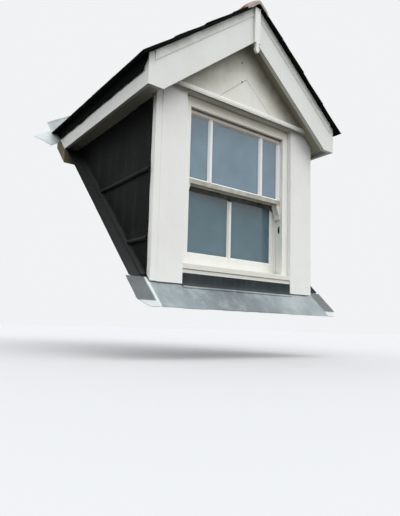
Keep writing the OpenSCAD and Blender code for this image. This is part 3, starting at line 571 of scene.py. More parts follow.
def new_tree(name, **inputs):
    """A geometry tree with named inputs: the tree, its inputs and the number of a point."""
    tree = bpy.data.node_groups.new(name, "GeometryNodeTree")
    for key, kind in inputs.items():
        tree.interface.new_socket(key, in_out="INPUT", socket_type="NodeSocket" + kind)
    tree.interface.new_socket("Geometry", in_out="OUTPUT", socket_type="NodeSocketGeometry")
    return tree, node("NodeGroupInput", {}, tree).outputs, add("GeometryNodeInputIndex", {}, tree=tree)


def jitter(number, seed, spread):
    """A small random shift or turn for each numbered body."""
    limits = {0: tuple(-s for s in spread), 1: spread}
    return add("FunctionNodeRandomValue", {**limits, "ID": number, "Seed": seed}, data_type="FLOAT_VECTOR")


def laid_on(given, points, body, number, turn, scale=(1.0, 1.0, 1.0)):
    """Sets a body on points, with a tone of its own for each, and ends the tree with its
    finish, and the finish of its edges where it has one."""
    shape = add("GeometryNodeObjectInfo", {"Object": body}, "Geometry")
    laid = add("GeometryNodeInstanceOnPoints", {"Points": points, "Instance": shape, "Rotation": turn,
                                                "Scale": scale})
    tone = add("FunctionNodeRandomValue", {"ID": number, "Seed": given["Seed"]}, "Value", data_type="FLOAT")
    toned = add("GeometryNodeStoreNamedAttribute", {"Geometry": laid, "Name": "tone", "Value": tone},
                data_type="FLOAT", domain="INSTANCE")
    whole = add("GeometryNodeRealizeInstances", {0: toned})
    coated = add("GeometryNodeSetMaterial", {"Geometry": whole, "Material": given["Finish"]})
    if "Edge finish" in given:
        edge = add("GeometryNodeInputNamedAttribute", {"Name": "edge"}, tree=number.id_data,
                   data_type="BOOLEAN")
        coated = add("GeometryNodeSetMaterial", {"Geometry": coated, "Selection": edge,
                                                 "Material": given["Edge finish"]})
    node("NodeGroupOutput", {0: coated})


def slating_tree():
    """Courses of slates on a plane: X along a course from the verge, Y up the slope."""
    tree, given, number = new_tree("slating", Slate="Object", Gauge="Float", Width="Float", Taper="Float",
                                   Courses="Int", Columns="Int", Side="Float", Bond="Int", Seed="Int",
                                   Finish="Material", **{"Edge finish": "Material"})
    column = maths("FLOOR", maths("DIVIDE", number, given["Courses"]))
    course = maths("SUBTRACT", number, maths("MULTIPLY", column, given["Courses"]))
    odd = maths("MODULO", maths("ADD", course, given["Bond"]), 2.0)
    wide = maths("MULTIPLY", odd, maths("LESS_THAN", column, 0.5))
    middle = maths("SUBTRACT", maths("MULTIPLY", odd, 0.5), maths("MULTIPLY", wide, 0.25))
    middle = maths("ADD", maths("ADD", column, 0.5), middle)
    along = maths("MULTIPLY", maths("MULTIPLY", middle, given["Width"]), given["Side"])
    place = add("ShaderNodeCombineXYZ", {0: along, 1: maths("MULTIPLY", course, given["Gauge"])})
    spot = vectors("ADD", place, jitter(number, given["Seed"], (0.0010, 0.0030, 0.0003)))
    count = maths("MULTIPLY", given["Courses"], given["Columns"])
    points = add("GeometryNodePoints", {"Count": count, "Position": spot})
    tilt = add("ShaderNodeCombineXYZ", {0: maths("MULTIPLY", given["Taper"], -1.0)})
    turned = vectors("ADD", jitter(number, given["Seed"], (0.0015, 0.0020, 0.0050)), tilt)
    stretch = maths("ADD", 1.0, maths("MULTIPLY", wide, 0.5))
    laid_on(given, points, given["Slate"], number, turned,
            add("ShaderNodeCombineXYZ", {0: stretch, 1: 1.0, 2: 1.0}))
    return tree


def grown(tree, values, mesh=None):
    """The plain mesh that a tree makes from its named inputs; the modifier does not stay."""
    holder = as_object("grown", mesh or bpy.data.meshes.new("grown"))
    modifier = holder.modifiers.new("grown", "NODES")
    modifier.node_group = tree
    for item in tree.interface.items_tree:
        if item.in_out == "INPUT" and item.name in values:
            modifier[item.identifier] = values[item.name]
    graph = bpy.context.evaluated_depsgraph_get()
    made = bpy.data.meshes.new_from_object(holder.evaluated_get(graph), depsgraph=graph)
    bpy.data.objects.remove(holder)
    return made


def cut(mesh, *planes):
    """Cuts closed solids with (point, normal) planes, drops what is outside and closes them."""
    bm = bmesh.new()
    bm.from_mesh(mesh)
    for point, normal in planes:
        done = bmesh.ops.bisect_plane(bm, geom=bm.verts[:] + bm.edges[:] + bm.faces[:], plane_co=point,
                                      plane_no=normal, clear_outer=True, dist=1e-6)
        rim = [e for e in done["geom_cut"] if isinstance(e, bmesh.types.BMEdge)]
        closing = bmesh.ops.edgeloop_fill(bm, edges=rim)
        for face in closing["faces"]:
            face.material_index = 1 if len(mesh.materials) > 1 else 0
    bmesh.ops.recalc_face_normals(bm, faces=bm.faces)
    bm.to_mesh(mesh)
    bm.free()


def off_the_roof(height):
    """The plane at a height off the main roof, under which a piece is cut away."""
    return roof_start + height * off_main, -off_main


def on_slope(side, pitch):
    """A slope of the dormer: X back from the verge, Y up from the apex and Z off the deck."""
    return Matrix.Translation((0.0, verge_y, deck_apex)) @ Matrix((
        (0.0, -side * math.cos(pitch), side * math.sin(pitch)), (side, 0.0, 0.0),
        (0.0, math.sin(pitch), math.cos(pitch)))).to_4x4()


laying = slating_tree()
courses, columns = 4, 8
under_length, under_set = 0.360, 0.003
whole_slate, under_slate = riven_slate(slate_size[1]), riven_slate(under_length)
for side, half in halves:
    bed = on_slope(side, slate_pitch)
    hinge = on_slope(side, dormer_pitch) @ Vector((0.0, -slate_hinge, 0.0))
    bed.translation = hinge - slate_reach * bed.col[1].to_3d()
    joined = bmesh.new()
    for body, length, rows, start, top in (
            (whole_slate, slate_size[1], courses, 0.0, slate_top),
            (under_slate, under_length, 1, under_set, slate_top - slate_size[2])):
        mesh = grown(laying, {"Slate": body, "Gauge": slate_gauge, "Width": slate_size[0] + slate_gap,
                              "Taper": math.atan(slate_size[2] / slate_gauge), "Courses": rows,
                              "Columns": columns, "Side": side, "Bond": int(rows == 1), "Seed": 5 + int(side),
                              "Finish": slate, "Edge finish": slate_edge_shade})
        lift = top - slate_size[2] * (start + length / 2) / slate_gauge
        mesh.transform(bed @ Matrix.Translation((0.0, start + length / 2, lift)))
        cut(mesh, off_the_roof(roof_gap), (Vector((apex_gap * side, 0, 0)), Vector((-side, 0, 0))))
        joined.from_mesh(mesh)
    joined.to_mesh(mesh)
    joined.free()
    piece("slating_" + half, mesh, [], "slate", "slates_" + half)
bpy.data.objects.remove(whole_slate)
bpy.data.objects.remove(under_slate)

# Tilting fillets: a long wedge of sawn timber on the edge of each deck, nailed down
# under the felt. It lifts the tails of the lowest slates.
deck_edge_x, fillet_end, fillet_start, fillet_back, fillet_gap = 0.709, 0.306, 0.085, 1.3, 0.0015
edge_down = deck_edge_x / math.cos(dormer_pitch)
rise = (slate_top - 2.3 * slate_size[2] - fillet_gap
        + (edge_down - slate_hinge) * (dormer_pitch - slate_pitch))
wedge = ((0.0, 0.0), (fillet_end, 0.0), (rise * math.tan(dormer_pitch), rise))
for side, half in halves:
    deck = on_slope(side, dormer_pitch)
    fillet = bmesh.new()
    skinned(fillet, [[fillet.verts.new(deck @ Vector((side * along, up - edge_down, height)))
                      for up, height in wedge] for along in (fillet_start, fillet_back)])
    mesh = meshed(fillet)
    cut(mesh, off_the_roof(roof_gap))
    piece("tilting_fillet_" + half, mesh, [timber_back], "timber")


# Felt: a strip of bitumen felt over each tilting fillet, which hangs in slack waves
# over the fascia from under the slates.
def beaten(across, along, place, thickness, *of):
    """A sheet that is bent to shape: a rule puts its grid in place, and its thickness goes under it."""
    bm = bmesh.new()
    grid = [[bm.verts.new(place(u, v, *of)) for v in along] for u in across]
    for i in range(len(across) - 1):
        for j in range(len(along) - 1):
            bm.faces.new((grid[i][j], grid[i + 1][j], grid[i + 1][j + 1], grid[i][j + 1]))
    bm.normal_update()
    top, rim = bm.faces[:], [e for e in bm.edges if e.is_boundary]
    under = {v: bm.verts.new(v.co - thickness * v.normal) for v in bm.verts[:]}
    for face in top:
        bm.faces.new([under[v] for v in reversed(face.verts)])
    for edge in rim:
        first, second = edge.verts
        bm.faces.new((first, second, under[second], under[first]))
    bmesh.ops.recalc_face_normals(bm, faces=bm.faces)
    for face in bm.faces:
        face.smooth = True
    for edge in rim:
        edge.smooth = False
    return meshed(bm)


felt, shader, place = finish("bitumen_felt", 0.9, Specular_IOR_Level=0.05)
grit = pattern(place, 420.0, 0.4, 0.7, 2.0)
colour = coats((0.0035, 0.004, 0.004), (grit, 0.5, (0.012, 0.012, 0.011)))
surfaced(shader, colour, [(grit, 0.0008, 0.7)])

felt_t, felt_gap, felt_drop, felt_out = 0.002, 0.0045, 0.058, 0.7125
felt_front, felt_notch, notch_length = -0.150, 0.034, 0.100
felt_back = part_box("eaves_felts")[1].y
felt_edge_z = deck_apex - felt_out * math.tan(dormer_pitch)
felt_lip = [(-0.030, 0.0415), (-0.012, 0.0265), (-0.004, 0.0205), (-0.001, 0.0155), (0.0, 0.0080),
            *((0.0, -drop) for drop in (0.002, 0.014, 0.028, 0.042, felt_drop))]


def felt_point(u, row, side):
    """The felt from its lip down to its torn edge, drawn back at the foot of its front end."""
    out, drop = felt_lip[row]
    slack = max(0.0, -drop) / felt_drop
    wave = 0.0035 * slack * soft_noise(u * 9.0, side, 0.3)
    ragged = 0.005 * soft_noise(u * 14.0, side, 4.3) if drop == -felt_drop else 0.0
    notch = felt_notch * min(1.0, max(0.0, 3.0 * slack - 0.75))
    notch *= max(0.0, 1.0 - (u - felt_front) / notch_length)
    return Vector((side * (felt_out + out + 0.003 * slack + wave), u + notch, felt_edge_z + drop + ragged))


for side, half in halves:
    mesh = beaten(steps(felt_front, felt_back, 0.02), range(len(felt_lip)), felt_point, side * felt_t, side)
    cut(mesh, off_the_roof(felt_gap))
    piece("eaves_felt_" + half, mesh, [felt], "felt", *(["eaves_felts"] if side > 0 else []))

# Ridge tiles: angled tiles of fired clay with a rounded back and chamfered ends, laid
# end to end from the gable to the main roof.
clay, shader, place = finish("clay_tile", 0.75)
burn = pattern(place, 9.0, 0.35, 0.75, 8.0, 0.6)
grit = pattern(place, 240.0, 0.35, 0.7, 3.0)
bloom = pattern(place, 26.0, 0.52, 0.70, 6.0)
colour = coats((0.40, 0.155, 0.095), (own_tone(place), 1.0, (0.52, 0.22, 0.145)),
               (burn, 0.55, (0.26, 0.10, 0.07)), (bloom, 0.40, (0.42, 0.38, 0.30)),
               (grit, 0.20, (0.62, 0.36, 0.26)))
surfaced(shader, colour, [(grit, 0.0012, 0.6), (burn, 0.004, 0.35)])

ridge_half, ridge_len, ridge_t, ridge_step, tile_count = 0.095, 0.450, 0.014, 0.454, 5
arris, arris_set, tile_lift = 0.0015, 0.002, 0.0004
ridge_front, ridge_end = (corner.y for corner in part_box("ridge_tiles"))
ridge_apex = deck_apex + 0.020 / math.cos(dormer_pitch)


def across_ridge(x, off, rounding):
    """Height at a place across the ridge, for a face that is rounded at the peak."""
    return off / math.cos(dormer_pitch) - math.tan(dormer_pitch) * (math.hypot(x, rounding) - 0.3 * rounding)


def clay_ridge_tile():
    """One angled tile, laid along Y from its front end, with chamfered ends and wavy faces."""
    bm = bmesh.new()
    slots = [ridge_half * s for s in (-1, -0.985, -0.8, -0.55, -0.3, -0.15, -0.07, 0, 0.07, 0.15, 0.3, 0.55,
                                      0.8, 0.985, 1)]
    rings = []
    for y in [0.0, arris_set, *steps(0.03, 0.42, 0.06), ridge_len - arris_set, ridge_len]:
        shrink = arris if y in (0.0, ridge_len) else 0.0
        ring = []
        for x in slots:
            soft = arris if abs(x) == ridge_half else 0.0
            wave = 0.0009 * soft_noise(x * 40, y * 14, 2.0)
            high = across_ridge(x, ridge_t, 0.012) - soft - shrink + wave
            ring.append((x * (1 - shrink / ridge_half), y, high))
        for x in reversed(slots):
            ring.append((x * (1 - shrink / ridge_half), y, across_ridge(x, 0.0, 0.008) + shrink))
        rings.append([bm.verts.new(p) for p in ring])
    skinned(bm, rings)
    for face in bm.faces:
        face.smooth = len(face.verts) == 4
    return as_object("clay_ridge_tile", meshed(bm))


row_tree, given, number = new_tree("ridge_row", Tile="Object", Count="Int", Step="Float", Seed="Int",
                                   Finish="Material")
spot = vectors("ADD", add("ShaderNodeCombineXYZ", {1: maths("MULTIPLY", number, given["Step"])}),
               jitter(number, given["Seed"], (0.0012, 0.0, 0.0004)))
laid_on(given, add("GeometryNodePoints", {"Count": given["Count"], "Position": spot}), given["Tile"], number,
        jitter(number, given["Seed"], (0.0015, 0.004, 0.0015)))
tile_body = clay_ridge_tile()
mesh = grown(row_tree, {"Tile": tile_body, "Count": tile_count, "Step": ridge_step, "Seed": 4,
                        "Finish": clay})
bpy.data.objects.remove(tile_body)
mesh.transform(Matrix.Translation((0.0, ridge_front, ridge_apex + tile_lift)))
cut(mesh, off_the_roof(roof_gap))
piece("ridge_tile_row", mesh, [], "terracotta", "ridge_tiles")

# Mortar: the bed of the ridge tiles, which swells out along their lower edges, closes
# the front end and is smeared on over the slates' edges at the apex.
mortar, shader, place = finish("bedding_mortar", 0.92)
grit = pattern(place, 300.0, 0.3, 0.7)
damp = pattern(place, 14.0, 0.4, 0.7, 5.0)
colour = coats((0.36, 0.33, 0.29), (damp, 0.6, (0.20, 0.185, 0.16)), (grit, 0.35, (0.50, 0.47, 0.42)))
surfaced(shader, colour, [(grit, 0.002, 0.9), (damp, 0.004, 0.5)])

bead = ((0.100, 0.0135), (0.119, 0.0215), (0.1245, 0.0205), (0.130, 0.0168), (0.134, 0.0125))
smear = ((0.0, 1.0), (0.35, 0.86), (0.70, 0.80), (0.92, 0.66), (1.0, 0.42), (1.0, 0.0))
smear_ends, verge_gap, end_set = (-0.092, 0.068), 0.0012, 0.003
bead_t, end_t, smear_t = 0.003, 0.02, 0.004


def bead_point(u, row, side):
    """The mortar along an edge: it swells out from under the tiles on to the slates."""
    down, height = bead[row]
    height += 0.0022 * soft_noise(u * 24, row * 0.6, side * 3.0) if 0 < row < 4 else 0.0
    down += 0.004 * soft_noise(u * 11, 7.0, side) if row > 2 else 0.0
    return Vector((side * (down * math.cos(dormer_pitch) + height * math.sin(dormer_pitch)), u,
                   deck_apex - down * math.sin(dormer_pitch) + height * math.cos(dormer_pitch)))


def end_point(u, v):
    """The mortar that closes the front end, between the slates and the tile."""
    low, high = across_ridge(u, -0.0072, 0.004), across_ridge(u, 0.0005, 0.008)
    bulge = 0.0015 * soft_noise(u * 60, v, 0.0)
    return Vector((u, ridge_front + 0.006 + bulge - 0.003 * math.sin(math.pi * v),
                   ridge_apex + low + (high - low) * v))


def smear_point(u, row):
    """The smear that runs on from the front end, over the slates' edges at the apex."""
    part, high = smear[row]
    body = min(1.0, (u - smear_ends[0]) / 0.030, (smear_ends[1] - u) / 0.015)
    over, under = across_ridge(u, 0.0105 - 0.0165 * (1.0 - body) ** 2, 0.010), across_ridge(u, -0.0185, 0.004)
    lump = 0.0016 * soft_noise(u * 45, row * 0.7, 9.0)
    ragged = 0.006 * soft_noise(u * 30, 5.0, 2.0) if high == 0.0 else 0.0
    return Vector((u, ridge_front + end_set + part * (verge_y - verge_gap - ridge_front - end_set),
                   ridge_apex + under + (over - under) * high + ragged + lump))


bed = bmesh.new()
for side, half in halves:
    bed.from_mesh(beaten(steps(ridge_front + 0.004, ridge_end, 0.018), range(len(bead)), bead_point,
                         -side * bead_t, side))
bed.from_mesh(beaten(steps(-ridge_half + 0.003, ridge_half - 0.003, 0.008), [0.0, 0.35, 0.7, 1.0],
                     end_point, end_t))
bed.from_mesh(beaten(steps(*smear_ends, 0.0062), range(len(smear)), smear_point, -smear_t))
mesh = meshed(bed)
cut(mesh, off_the_roof(roof_gap))
piece("ridge_mortar", mesh, [mortar], "terracotta")

# Cheek lead: three sheets on each side, hung one over the next and nailed under each
# lap. Each one's lower edge is rolled up into a welt, and the lead has gone nearly black.
dark_lead, shader, place = finish("dark_lead", 0.7, Specular_IOR_Level=0.05)
cloud = pattern(place, 5.0, 0.35, 0.75, 8.0, 0.6)
streak = pattern(squeezed(place, (14.0, 14.0, 1.6)), 1.5, 0.50, 0.80, 5.0)
grit = pattern(place, 130.0, 0.4, 0.7)
# Faces that look up, such as the welts' tops, are lighter: dust and a painted highlight.
colour = coats((0.0075, 0.0085, 0.0085), (cloud, 0.7, (0.0165, 0.0185, 0.0185)),
               (streak, 0.5, (0.030, 0.034, 0.034)), (grit, 0.2, (0.030, 0.031, 0.028)),
               (ramp(facing_up(place), 0.12, 0.80), 0.8, (0.048, 0.052, 0.051)))
surfaced(shader, colour, [(grit, 0.0006, 0.3), (cloud, 0.003, 0.3)])
# Darker to near black towards the top, under the eaves: painted shade.
dirt_and_shade(dark_lead, ramp(parts(place)[2], 0.80, 0.97, interpolation_type="SMOOTHSTEP"), 0.97,
       (0.0010, 0.0014, 0.0008), ragged=0.25)

face_x, lead_t, sheet_gap = 0.600, 0.0022, 0.0085
lead_front, lead_lap, soffit_z, flash_up = front_y + 0.036, 0.050, 1.026, 0.075
laps = (-0.060, 0.2664, 0.6314, soffit_z)
welt = ((0.004, 0.0004), (-0.003, 0.0012), (-0.006, 0.0045), (-0.004, 0.0085), (0.003, 0.0108),
        (0.010, 0.0098), (0.015, 0.0062), (0.018, 0.0022), (0.022, 0.0006), (0.034, 0.0))


def ripple(u, v, size, height, seed):
    """The dents and waves that dressing by hand leaves."""
    return height * noise.fractal(Vector((u / size, v / size, seed)), 0.9, 2.1, 3)


def smooth_step(value):
    """0 to 1 with soft ends."""
    value = min(1.0, max(0.0, value))
    return value * value * (3 - 2 * value)


def cheek_lead_point(y, row, side, low):
    """A sheet of cheek lead, with dents, the welt at its foot and the flashing behind it."""
    rise, out = row
    z = low + rise + (0.0035 * soft_noise(y * 5.0, low, side) if low > 0 else 0.0)
    if y == lead_front:
        y += 0.0035 * soft_noise(z * 9.0, side, 1.0)
    off = (z - kerb_rise) * math.cos(main_pitch) - (y - front_y) * math.sin(main_pitch)
    dents = 0.0016 + ripple(y, z, 0.30, 0.0016, side) + ripple(y, z, 0.07, 0.0005, side + 4)
    out += lead_t + max(0.0, dents) + lead_t * smooth_step((flash_up + 0.012 - off) / 0.012)
    return Vector((side * (face_x + out), y, z))


for side, half in halves:
    sheets = bmesh.new()
    for low, high in zip(laps, laps[1:]):
        over = lead_t + 0.0003 if low > 0 else 0.0
        rows = [(rise, out + over) for rise, out in welt] if low > 0 else [(0.0, 0.0)]
        rows += [(lead_lap - 0.004, over), (lead_lap + 0.006, 0.3 * over), (lead_lap + 0.014, 0.0)]
        top = high - low + (lead_lap if high < soffit_z else 0.0)
        rows += [(rise, 0.0) for rise in steps(lead_lap + 0.03, top, 0.018)]
        deep = front_y + (low + top - kerb_rise) / math.tan(main_pitch) + 0.02
        sheets.from_mesh(beaten([lead_front, *steps(lead_front + 0.008, deep, 0.018)], rows,
                                cheek_lead_point, side * lead_t, side, low))
    mesh = meshed(sheets)
    cut(mesh, off_the_roof(sheet_gap))
    piece("cheek_sheets_" + half, mesh, [dark_lead], "lead", "cheek_lead_" + half)


# Cheek foot: a narrow strip of the same lead along the foot of each cheek, turned out
# from the sheets over the flashing in a rounded fold.
def on_main(x, up, off):
    """A point by its place across, its distance up the main roof and its height off it."""
    return roof_start + Vector((x, 0, 0)) + up * up_main + off * off_main


def foot_point(up, part, side):
    """The fold, from its outer edge up to the face of the cheek lead."""
    out, off = part
    wave = ripple(up, out, 0.06, 0.0012, side)
    return on_main(side * (face_x + out + (2 * wave if out > 0.03 else 0.0)), up, off + wave)


foot = ((0.0340, 0.0090), (0.0330, 0.0112), (0.0240, 0.0105), (0.0150, 0.0112), (0.0105, 0.0140),
        (0.0080, 0.0190), (0.0066, 0.0270), (0.0040, 0.0400), (0.0010, 0.0520))
foot_start = (lead_front - front_y) / math.cos(main_pitch)
foot_end = (soffit_z - kerb_rise) / math.sin(main_pitch) - 0.03
at_corner = (Vector((0.0, lead_front, 0.0)), Vector((0.0, -1.0, 0.0)))
for side, half in halves:
    mesh = beaten(steps(foot_start, foot_end, 0.018), foot, foot_point, side * lead_t, side)
    cut(mesh, at_corner)
    piece("cheek_foot_" + half, mesh, [dark_lead], "lead")


# Side flashings: an angle of lead under each cheek's foot, with one leg up the boarding
# and one out over the main roof, where its edge is welted.
def flashing_point(up, part, side):
    """The angle, from its welted edge to the top of its upright leg; only the flat leg waves."""
    out, off = part
    fade = smooth_step((0.105 - off * 10) / 0.1) if out > 0.012 else 0.0
    return on_main(side * (face_x + out), up, off + abs(ripple(up, out, 0.16, 0.0022, side + 9) * fade))


flashing = ((0.0960, 0.0034), (0.1000, 0.0040), (0.1010, 0.0062), (0.0985, 0.0082), (0.0940, 0.0076),
            (0.0915, 0.0045), (0.0870, 0.0030), (0.0700, 0.0028), (0.0500, 0.0028), (0.0300, 0.0028),
            (0.0140, 0.0028), (0.0070, 0.0036), (0.0036, 0.0066), (0.0024, 0.0120), (0.0022, 0.0300),
            (0.0022, flash_up))
flashing_end = 1.398
for side, half in halves:
    mesh = beaten(steps(foot_start, flashing_end, 0.022), flashing, flashing_point, side * lead_t, side)
    cut(mesh, at_corner)
    piece("side_flashing_" + half, mesh, [dark_lead], "lead", *(["side_flashings"] if side > 0 else []))

# Apron: a wide sheet on the main roof under the window, in pale lead that has run and
# dulled in patches; its paleness is partly painted light, a lit copy of the lead whose
# shaded copy is the upstand. Its ends go under the slates beside it, over a raised crease,
# and are dull there but for their tips. The valleys' lead is alike, brightest at its tails.
lit_lead, shader, place = finish("lit_lead", 0.5, Specular_IOR_Level=0.6)
right, _, high = parts(place)
aside = maths("ABSOLUTE", right)
on_apron = ramp(high, 0.30, 0.20)


def on_the_apron(mask):
    return maths("MULTIPLY", mask, on_apron)


def near_line(x, start, end):
    """1 close to a line down the apron, fading to 0."""
    return on_the_apron(ramp(maths("ABSOLUTE", maths("SUBTRACT", right, x)), start, end))


bloom = pattern(place, 13.0, 0.48, 0.68, 8.0, 0.65)
covered = on_the_apron(ramp(aside, 0.614, 0.622))
not_tip = ramp(high, -0.050, -0.044)
dull_end = maths("MULTIPLY", covered, not_tip)
bright_tip = maths("MULTIPLY", covered, maths("SUBTRACT", 1.0, not_tip))
# The valleys' tails are lighter: a painted highlight on their rounded dressing.
tail_highlight = maths("MULTIPLY", maths("SUBTRACT", 1.0, on_apron), ramp(aside, 0.72, 0.80))
colour = coats((0.21, 0.25, 0.265), (pattern(place, 3.6, 0.40, 0.64, 6.0, 0.6), 1.0, (0.32, 0.365, 0.375)),
               (near_line(-0.04, 0.38, 0.08), 0.85, (0.125, 0.155, 0.17)), (bloom, 0.42, (0.44, 0.49, 0.495)),
               (pattern(squeezed(place, (9.0, 2.2, 2.2)), 1.3, 0.50, 0.78), 0.12, (0.46, 0.51, 0.51)),
               (pattern(place, 95.0, 0.62, 0.68, 3.0), 0.45, (0.10, 0.12, 0.13)),
               # A pale line along the left crease: painted highlight.
               (near_line(-0.609, 0.015, 0.004), 0.85, (0.68, 0.73, 0.72)),
               (dull_end, 0.85, (0.075, 0.085, 0.088)),
               (bright_tip, 0.75, (0.62, 0.66, 0.65)), (tail_highlight, 0.70, (0.60, 0.64, 0.65)))
surfaced(shader, colour, [(pattern(place, 45.0, 0.3, 0.7, 5.0), 0.0012, 0.3), (bloom, 0.002, 0.2)],
         ramp(bloom, 0.0, 1.0, 0.42, 0.68))

pilaster_x, apron_half, apron_low, crease_x, corner_cut = 0.407, 0.718, -0.1730, 0.609, 0.052
creases = (((0.388, 0.0115), (0.484, -0.073)), ((0.604, -0.055), (0.600, -0.156)),
           ((-0.0125, -0.069), (0.096, -0.135)))


def apron_top(x):
    """How far up the sheet reaches: to the kerb, or under a pilaster's foot or the slates."""
    return 0.0130 if abs(x) < pilaster_x else 0.038 if abs(x) < face_x else 0.049


def apron_point(x, row):
    """The apron, with dents, a raised crease at each end, a turned lower edge and three folds."""
    up = apron_low + (apron_top(x) - apron_low) * row
    off = 0.0030 + abs(ripple(x, up, 0.13, 0.0034, 21)) + ripple(x, up, 0.035, 0.0005, 22)
    ridge = 0.0055 if x < 0 else 0.0020
    off += ridge * math.exp(-((abs(x) - crease_x) / 0.0065) ** 2) * smooth_step((0.012 - up) / 0.03)
    off += 0.0030 * math.exp(-((up - apron_low) / 0.005) ** 2)
    for (x0, up0), (x1, up1) in creases:
        length = math.hypot(x1 - x0, up1 - up0)
        along = ((x - x0) * (x1 - x0) + (up - up0) * (up1 - up0)) / length ** 2
        aside = ((x - x0) * (up1 - up0) - (up - up0) * (x1 - x0)) / length
        if 0 < along < 1:
            off += 0.0034 * math.sin(math.pi * along) * math.exp(-(aside / 0.007) ** 2)
    edge = 0.0025 * soft_noise(x * 6.0, 3.0, 0.0) if row == 0 else 0.0
    return on_main(x, up + edge, off)


half_across = [*steps(0.0, pilaster_x - 0.0006, 0.0135), pilaster_x + 0.0006,
               *steps(0.42, face_x - 0.0006, 0.012), face_x + 0.0006,
               *steps(0.604, 0.636, 0.0032), *steps(0.650, apron_half, 0.0136)]
mesh = beaten([-x for x in reversed(half_across[1:])] + half_across,
              [0.0, 0.018, 0.04, 0.065, *steps(0.10, 1.0, 0.055)], apron_point, lead_t)
corner = on_main(apron_half, apron_low + corner_cut, 0.0) - on_main(apron_half - corner_cut, apron_low, 0.0)
for side, half in halves:
    slant = Vector((side * corner.x, corner.y, corner.z)).cross(off_main) * side
    cut(mesh, (on_main(side * apron_half, apron_low + corner_cut, 0.0), slant.normalized()))
piece("apron_sheet", mesh, [lit_lead], "lead", "lead_apron")

# Upstand: a strip of lead under the sill in the shaded copy of the apron's lead, darker
# under the sill as painted shade, with its foot turned out over the apron in a rounded
# fold that takes the lit copy as painted light.
shaded_lead, shader, place = finish("shaded_lead", 0.55, Specular_IOR_Level=0.15)
cloud = pattern(place, 8.0, 0.35, 0.70, 6.0, 0.6)
runs = pattern(squeezed(place, (16.0, 16.0, 2.4)), 1.7, 0.50, 0.75, 5.0)
colour = coats((0.014, 0.018, 0.020), (cloud, 1.0, (0.036, 0.045, 0.049)),
               (runs, 0.25, (0.080, 0.095, 0.098)),
               # Lighter towards the foot, darker under the sill: painted shade.
               (ramp(parts(place)[2], 0.095, 0.055), 0.38, (0.062, 0.074, 0.078)))
surfaced(shader, colour, [(cloud, 0.003, 0.4)])

upstand_fold = [on_main(0, up, off) for up, off in ((-0.0120, 0.0050), (-0.0115, 0.0080), (-0.0070, 0.0100),
                                                    (-0.0010, 0.0112))]
upstand_face = [Vector((0.0, front_y + y, kerb_rise + z))
                for y, z in ((0.0030, 0.0185), (0.0046, 0.0260), (0.0052, 0.0400), (0.0052, 0.0580),
                             (0.0052, 0.0755))]
lit_fold_below, dented_above = kerb_rise + 0.0060, 0.06


def upstand_point(x, row):
    """The upstand, dented in and out on its face and up and down on its fold."""
    dent = 0.0010 * soft_noise(x * 12.0, row.z * 30.0, 5.0)
    on_face = row.z > dented_above
    return Vector((x, row.y + (dent if on_face else 0.0), row.z + (0.0 if on_face else dent)))


mesh = beaten(steps(-pilaster_x + 0.001, pilaster_x - 0.001, 0.012), upstand_fold + upstand_face,
              upstand_point, lead_t)
# The fold's faces take the lit copy of the lead: painted light.
for face in mesh.polygons:
    face.material_index = int(face.center.z < lit_fold_below)
piece("apron_upstand", mesh, [shaded_lead, lit_lead], "lead")

# Valleys: strips of lead under the slates' cut edges, welted on the roof side, with
# tails that are dressed over the main roof beyond the eaves.
deck_top, slate_high, valley_w = deck_apex - kerb_rise, deck_apex - kerb_rise + 0.0258, 0.130
saddle_x, slate_x, fascia_x = 0.150, 0.751, 0.7155
tail_x, tail_long, tail_w, tail_rise = 0.902, 0.304, 0.126, 0.028
valley_slant = math.atan(math.tan(dormer_pitch) / math.sin(main_pitch))


def valley_up(top, x):
    """Distance up the main roof at which a slope of the dormer meets it."""
    return (top - abs(x) * math.tan(dormer_pitch)) / math.tan(main_pitch) / math.cos(main_pitch)


def valley_point(x, row, side):
    """A valley, from under the slates to its welt."""
    part, out = row
    up = valley_up(deck_top + 0.0005 + part * (slate_high + valley_w - deck_top), x)
    dent = abs(ripple(x, up, 0.15, 0.0022, side + 31)) if part > 0.15 else 0.0
    return on_main(side * x, up, lead_t + 0.0003 + dent + out)


def tail_point(along, down, side):
    """A valley's tail, along and across its own slant."""
    x = tail_x - along * math.cos(valley_slant) - down * math.sin(valley_slant)
    up = along * math.sin(valley_slant) - down * math.cos(valley_slant)
    up += valley_up(slate_high + tail_rise, tail_x)
    swell = 0.0035 * math.sin(math.pi * min(1.0, down / tail_w)) + abs(ripple(x, up, 0.06, 0.0030, side + 41))
    return on_main(side * x, up, 2 * lead_t + 0.001 + swell)


valley_rows = [(0.0, 0.0), (0.10, 0.0), *((part, 0.0) for part in steps(0.18, 0.86, 0.11)),
               (0.895, 0.0006), (0.915, 0.0030), (0.945, 0.0048), (0.975, 0.0036), (1.0, 0.0004)]
for side, half in halves:
    valley = bmesh.new()
    valley.from_mesh(beaten(steps(saddle_x, slate_x, 0.02), valley_rows, valley_point, side * lead_t, side))
    mesh = beaten(steps(0.0, tail_long, 0.016), steps(0.0, tail_w, 0.0155), tail_point, side * lead_t, side)
    cut(mesh, (Vector((side * fascia_x, 0, 0)), Vector((-side, 0, 0))))
    valley.from_mesh(mesh)
    piece("valley_sheet_" + half, meshed(valley), [lit_lead], "lead",
          *(["valley_leads"] if side > 0 else []))

# Saddle: a sheet dressed down over the last ridge tile and out over the heads of the
# two valleys, where the dormer's ridge runs into the main roof.
saddle_lap = 0.090
ridge_high = slate_high + 0.01804
saddle_back = ridge_high / math.tan(main_pitch)


def saddle_point(x, part):
    """The part that lies on the main roof."""
    low = valley_up(deck_top + 0.0005, x)
    up = low + part * (valley_up(slate_high + valley_w, 0.0) - low)
    return on_main(x, up, lead_t + 0.0006 + abs(ripple(x, up, 0.10, 0.0022, 51)))


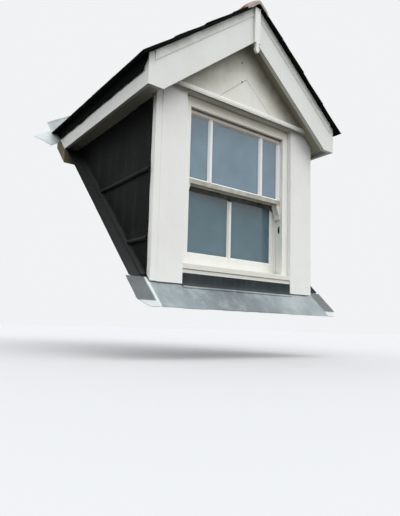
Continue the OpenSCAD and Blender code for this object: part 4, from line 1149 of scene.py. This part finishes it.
def cap_point(y, x):
    """The part that laps over the last ridge tile."""
    rise = ridge_high + kerb_rise - math.tan(dormer_pitch) * (math.hypot(x, 0.012) - 0.0036)
    return Vector((x, front_y + y, rise + 0.0034 + 0.0008 * soft_noise(x * 30, y * 30, 8.0)))


saddle = bmesh.new()
saddle.from_mesh(beaten(steps(-saddle_x + 0.001, saddle_x - 0.001, 0.015), steps(0.0, 1.0, 0.08),
                        saddle_point, lead_t))
saddle.from_mesh(beaten(steps(saddle_back - saddle_lap, saddle_back - 0.002, 0.012),
                        steps(-ridge_half, ridge_half, 0.0079), cap_point, -lead_t))
mesh = meshed(saddle)
cut(mesh, off_the_roof(0.0005))
piece("saddle_sheet", mesh, [lit_lead], "lead", "ridge_saddle")

# Nails: two round steel heads have pushed through the gable's paint and rusted.
# They are driven through the boards into the stud behind.
nail_steel, shader, place = finish("rusty_nail", 0.7, Metallic=0.6)
rust = pattern(place, 600.0, 0.35, 0.65)
surfaced(shader, coats((0.030, 0.022, 0.016), (rust, 1.0, (0.10, 0.05, 0.025))), [(rust, 0.0005, 0.6)])

head_sides = 12
head = bmesh.new()
turns = [math.tau * i / head_sides for i in range(head_sides)]
skinned(head, [[head.verts.new((r * math.cos(a), -h, r * math.sin(a))) for a in turns]
               for r, h in ((0.0046, -0.002), (0.0050, 0.0006), (0.0042, 0.0014), (0.0022, 0.0018))])
nail_head = as_object("nail_head", meshed(head))

fixing_tree, given, number = new_tree("fixings", Places="Geometry", Nail="Object", Seed="Int",
                                      Finish="Material")
laid_on(given, given["Places"], given["Nail"], number, jitter(number, given["Seed"], (0.06, 1.5, 0.06)))
gable_face_y, nail_spots = front_y - 0.018, ((-0.0379, 1.4001), (-0.0353, 1.2818))
places = bpy.data.meshes.new("nail_places")
places.from_pydata([(x, gable_face_y, z) for x, z in nail_spots], [], [])
mesh = grown(fixing_tree, {"Nail": nail_head, "Seed": 3, "Finish": nail_steel}, places)
bpy.data.objects.remove(nail_head)
piece("nail_heads", mesh, [], "white_paint")
